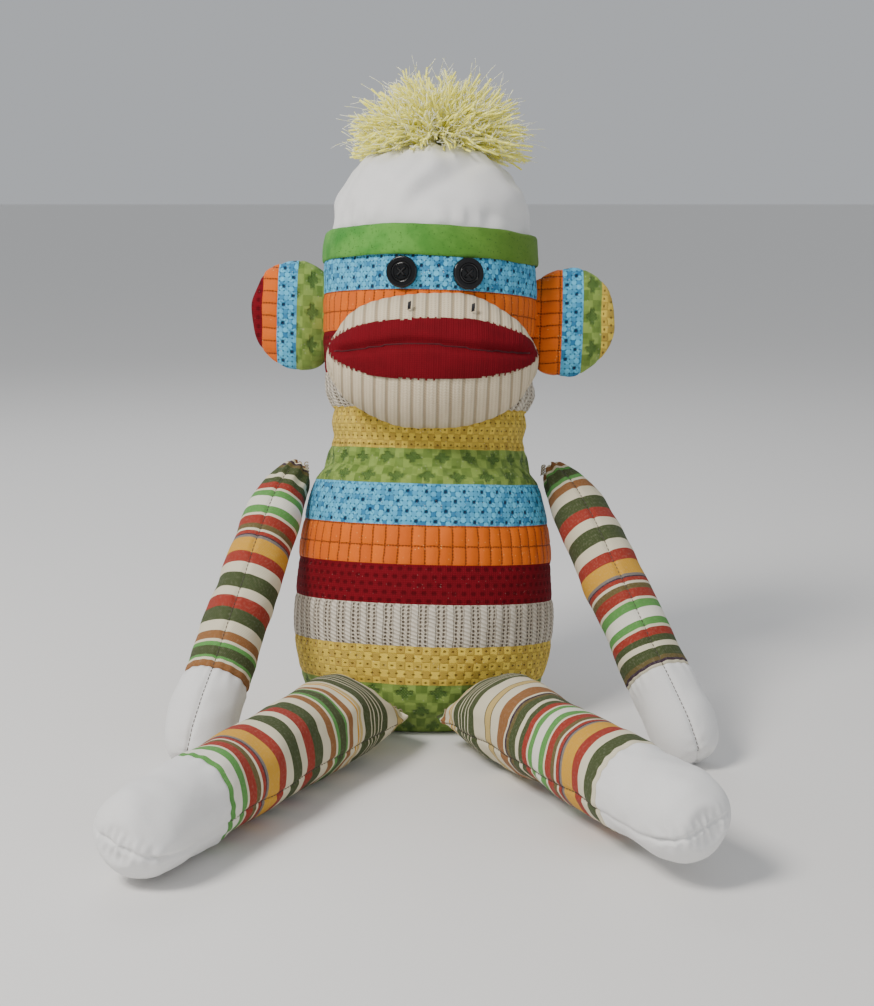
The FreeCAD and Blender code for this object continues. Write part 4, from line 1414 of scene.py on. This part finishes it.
def build_pompom():
    rng = np.random.default_rng(11)
    low, high = body_span("pompom")
    centre = (low + high) / 2
    centre[2] = TUBE_HEIGHT + 5
    half = np.array([(high[0] - low[0]) / 2 * 1.07, (high[1] - low[1]) / 2, high[2] - centre[2] + 7])
    centre[0] += 2.0
    centre[2] -= 3.0
    core = Cloth("yarn_core", rough=0.8, sheen=0.4)
    tone = core.noise(0.35, 2.0)
    shade = core.mix(tone.step(0.35, 0.65), (1.0, 0.92, 0.12), (1.0, 0.98, 0.30))
    core_mat = core.finish(shade, tone, 0.3, 0.3)
    # painted highlight: the fibres are coloured pale, up to near-white, for the glints on the yarn
    glint = Cloth("yarn_fibre_painted_glints", rough=0.35, sheen=0.2, spec=0.6)
    tone = glint.noise(0.25, 1.0)
    shade = glint.mix(tone.step(0.4, 0.6), (1.0, 0.97, 0.36), (1.0, 1.0, 0.85))
    fibre_mat = glint.finish(shade, tone, 0.1, 0.1)
    strands, radii, fibres, fibre_radii = [], [], [], []
    for _ in range(STRANDS):
        # directions spread over a dome that also hangs a little below its middle
        way, flat = dome_way(rng, -0.32)
        reach = rng.uniform(0.66, 0.97)
        scale = half if way[2] > 0 else np.array([half[0], half[1], 34.0])
        tip = centre + way * scale * reach
        t = np.linspace(0, 1, 9)[:, None]
        start = centre + np.array([way[0] * 5, way[1] * 5, -1.5])
        bend = rng.normal(size=3) * np.array([4.0, 4.0, 2.5])
        path = start + (tip - start) * t + bend * (t * (1 - t)) * 2.4
        path[:, 2] += 7.0 * flat * (t * (1 - t))[:, 0] - 2.0 * flat * (t[:, 0] ** 2)
        path += rng.normal(size=path.shape) * 0.35
        # stay above the hat
        for row in path:
            share = np.hypot(row[0] / (0.80 * TUBE_WIDE), row[1] / (0.95 * TUBE_DEEP))
            roof = TUBE_HEIGHT - 46 * (1 - math.sqrt(max(0.0, 1 - min(share, 1.0) ** 2))) + 1.6
            row[2] = max(row[2], roof)
        strands.append(to_world(path))
        radii.append(np.linspace(0.75, 0.55, 9) * rng.uniform(0.75, 1.3))
        for _ in range(FIBRES_PER_STRAND):
            place = rng.uniform(0.2, 1.0)
            spot = np.array([np.interp(place, t[:, 0], path[:, a]) for a in range(3)])
            along = unit(path[-1] - path[0])
            across = unit(np.cross(along, rng.normal(size=3)))
            lean = unit(across + along * rng.uniform(0.2, 1.2))
            length = rng.uniform(3.5, 8.5) * (0.6 + 0.4 * place)
            s = np.linspace(0, 1, 4)[:, None]
            hair = spot + lean * length * s + along * length * 0.25 * s**2
            hair[:, 2] = np.maximum(hair[:, 2], low[2] - 1)
            fibres.append(to_world(hair))
            fibre_radii.append(rng.uniform(0.12, 0.26))
    # a few long stray wisps
    for _ in range(WISPS):
        way, _ = dome_way(rng, -0.1)
        tip = centre + way * half * rng.uniform(1.0, 1.14)
        t = np.linspace(0, 1, 8)[:, None]
        base = centre + way * half * 0.5
        path = base + (tip - base) * t + rng.normal(size=3) * 5.0 * t * (1 - t) * 2
        fibres.append(to_world(path))
        fibre_radii.append(0.13)
    yarn = tubes("pompom_yarn", strands, radii, 5, [core_mat])
    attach(yarn, "head")
    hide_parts("pompom")
    hairs = tubes("pompom_fibres", fibres, fibre_radii, 3, [fibre_mat])
    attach(hairs, "head")
    # the wrapped thread that ties the yarn together
    tie_low, tie_high = body_span("pompom_tie")
    middle = (tie_low + tie_high) / 2
    wide = (tie_high[0] - tie_low[0]) / 2 - 0.5
    t = np.linspace(0, 1, 160)
    turn = t * TAU * 5
    wrap = np.column_stack([middle[0] + wide * np.cos(turn), middle[1] + wide * np.sin(turn),
                            tie_low[2] + 0.5 + (tie_high[2] - tie_low[2] - 1) * t])
    tie = tubes("pompom_wrap", [to_world(wrap)], [0.5], 6, [core_mat])
    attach(tie, "head")
    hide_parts("pompom_tie")


build_pompom()

# ---------------------------------------------------------------- floor, light, camera

FLOOR_HALF = 30.0
FLOOR_COLOUR = (0.80, 0.785, 0.765, 1)
SKY_COLOUR = (0.84, 0.87, 0.91, 1)
SKY_STRENGTH = 0.55
WARM, COOL = (1.0, 0.965, 0.92), (0.93, 0.96, 1.0)
# name, place in metres, watts, width, colour; all of them point at the toy's chest
LIGHTS = [
    ("key", (-0.95, -0.95, 1.45), 34.0, 0.55, WARM), ("fill", (0.5, -1.6, 0.5), 3.0, 1.0, COOL),
    ("back", (-0.4, 1.1, 1.3), 6.0, 0.9, COOL),
]
LIGHT_TARGET = (0, -0.03, 0.16)
CAMERA_PLACE = (0.0096, -1.046, 0.314)
CAMERA_PITCH = 80      # degrees up from straight down
CAMERA_LENS = 64.4
CAMERA_SENSOR = 36


def build_floor():
    size = FLOOR_HALF
    mesh = bpy.data.meshes.new("floor")
    corners = [(-size, -size, 0), (size, -size, 0), (size, size, 0), (-size, size, 0)]
    mesh.from_pydata(corners, [], [(0, 1, 2, 3)])
    floor = bpy.data.objects.new("floor", mesh)
    bpy.context.scene.collection.objects.link(floor)
    mat = bpy.data.materials.new("floor_pale")
    mat.use_nodes = True
    bsdf = mat.node_tree.nodes["Principled BSDF"]
    bsdf.inputs["Base Color"].default_value = FLOOR_COLOUR
    bsdf.inputs["Roughness"].default_value = 0.7
    mesh.materials.append(mat)


def build_lights():
    world = bpy.data.worlds.new("studio")
    world.use_nodes = True
    sky = world.node_tree.nodes["Background"]
    sky.inputs["Color"].default_value = SKY_COLOUR
    sky.inputs["Strength"].default_value = SKY_STRENGTH
    bpy.context.scene.world = world
    for name, place, power, side, colour in LIGHTS:
        light = bpy.data.lights.new(name, "AREA")
        light.energy = power
        light.size = side
        light.color = colour
        obj = bpy.data.objects.new(name, light)
        obj.location = place
        obj.rotation_euler = (Vector(LIGHT_TARGET) - Vector(place)).to_track_quat("-Z", "Y").to_euler()
        bpy.context.scene.collection.objects.link(obj)


def build_camera():
    camera = bpy.data.cameras.new("camera")
    camera.sensor_width = CAMERA_SENSOR
    camera.lens = CAMERA_LENS
    obj = bpy.data.objects.new("camera", camera)
    obj.location = CAMERA_PLACE
    obj.rotation_euler = (math.radians(CAMERA_PITCH), 0, 0)
    bpy.context.scene.collection.objects.link(obj)
    bpy.context.scene.camera = obj


build_floor()
build_lights()
build_camera()
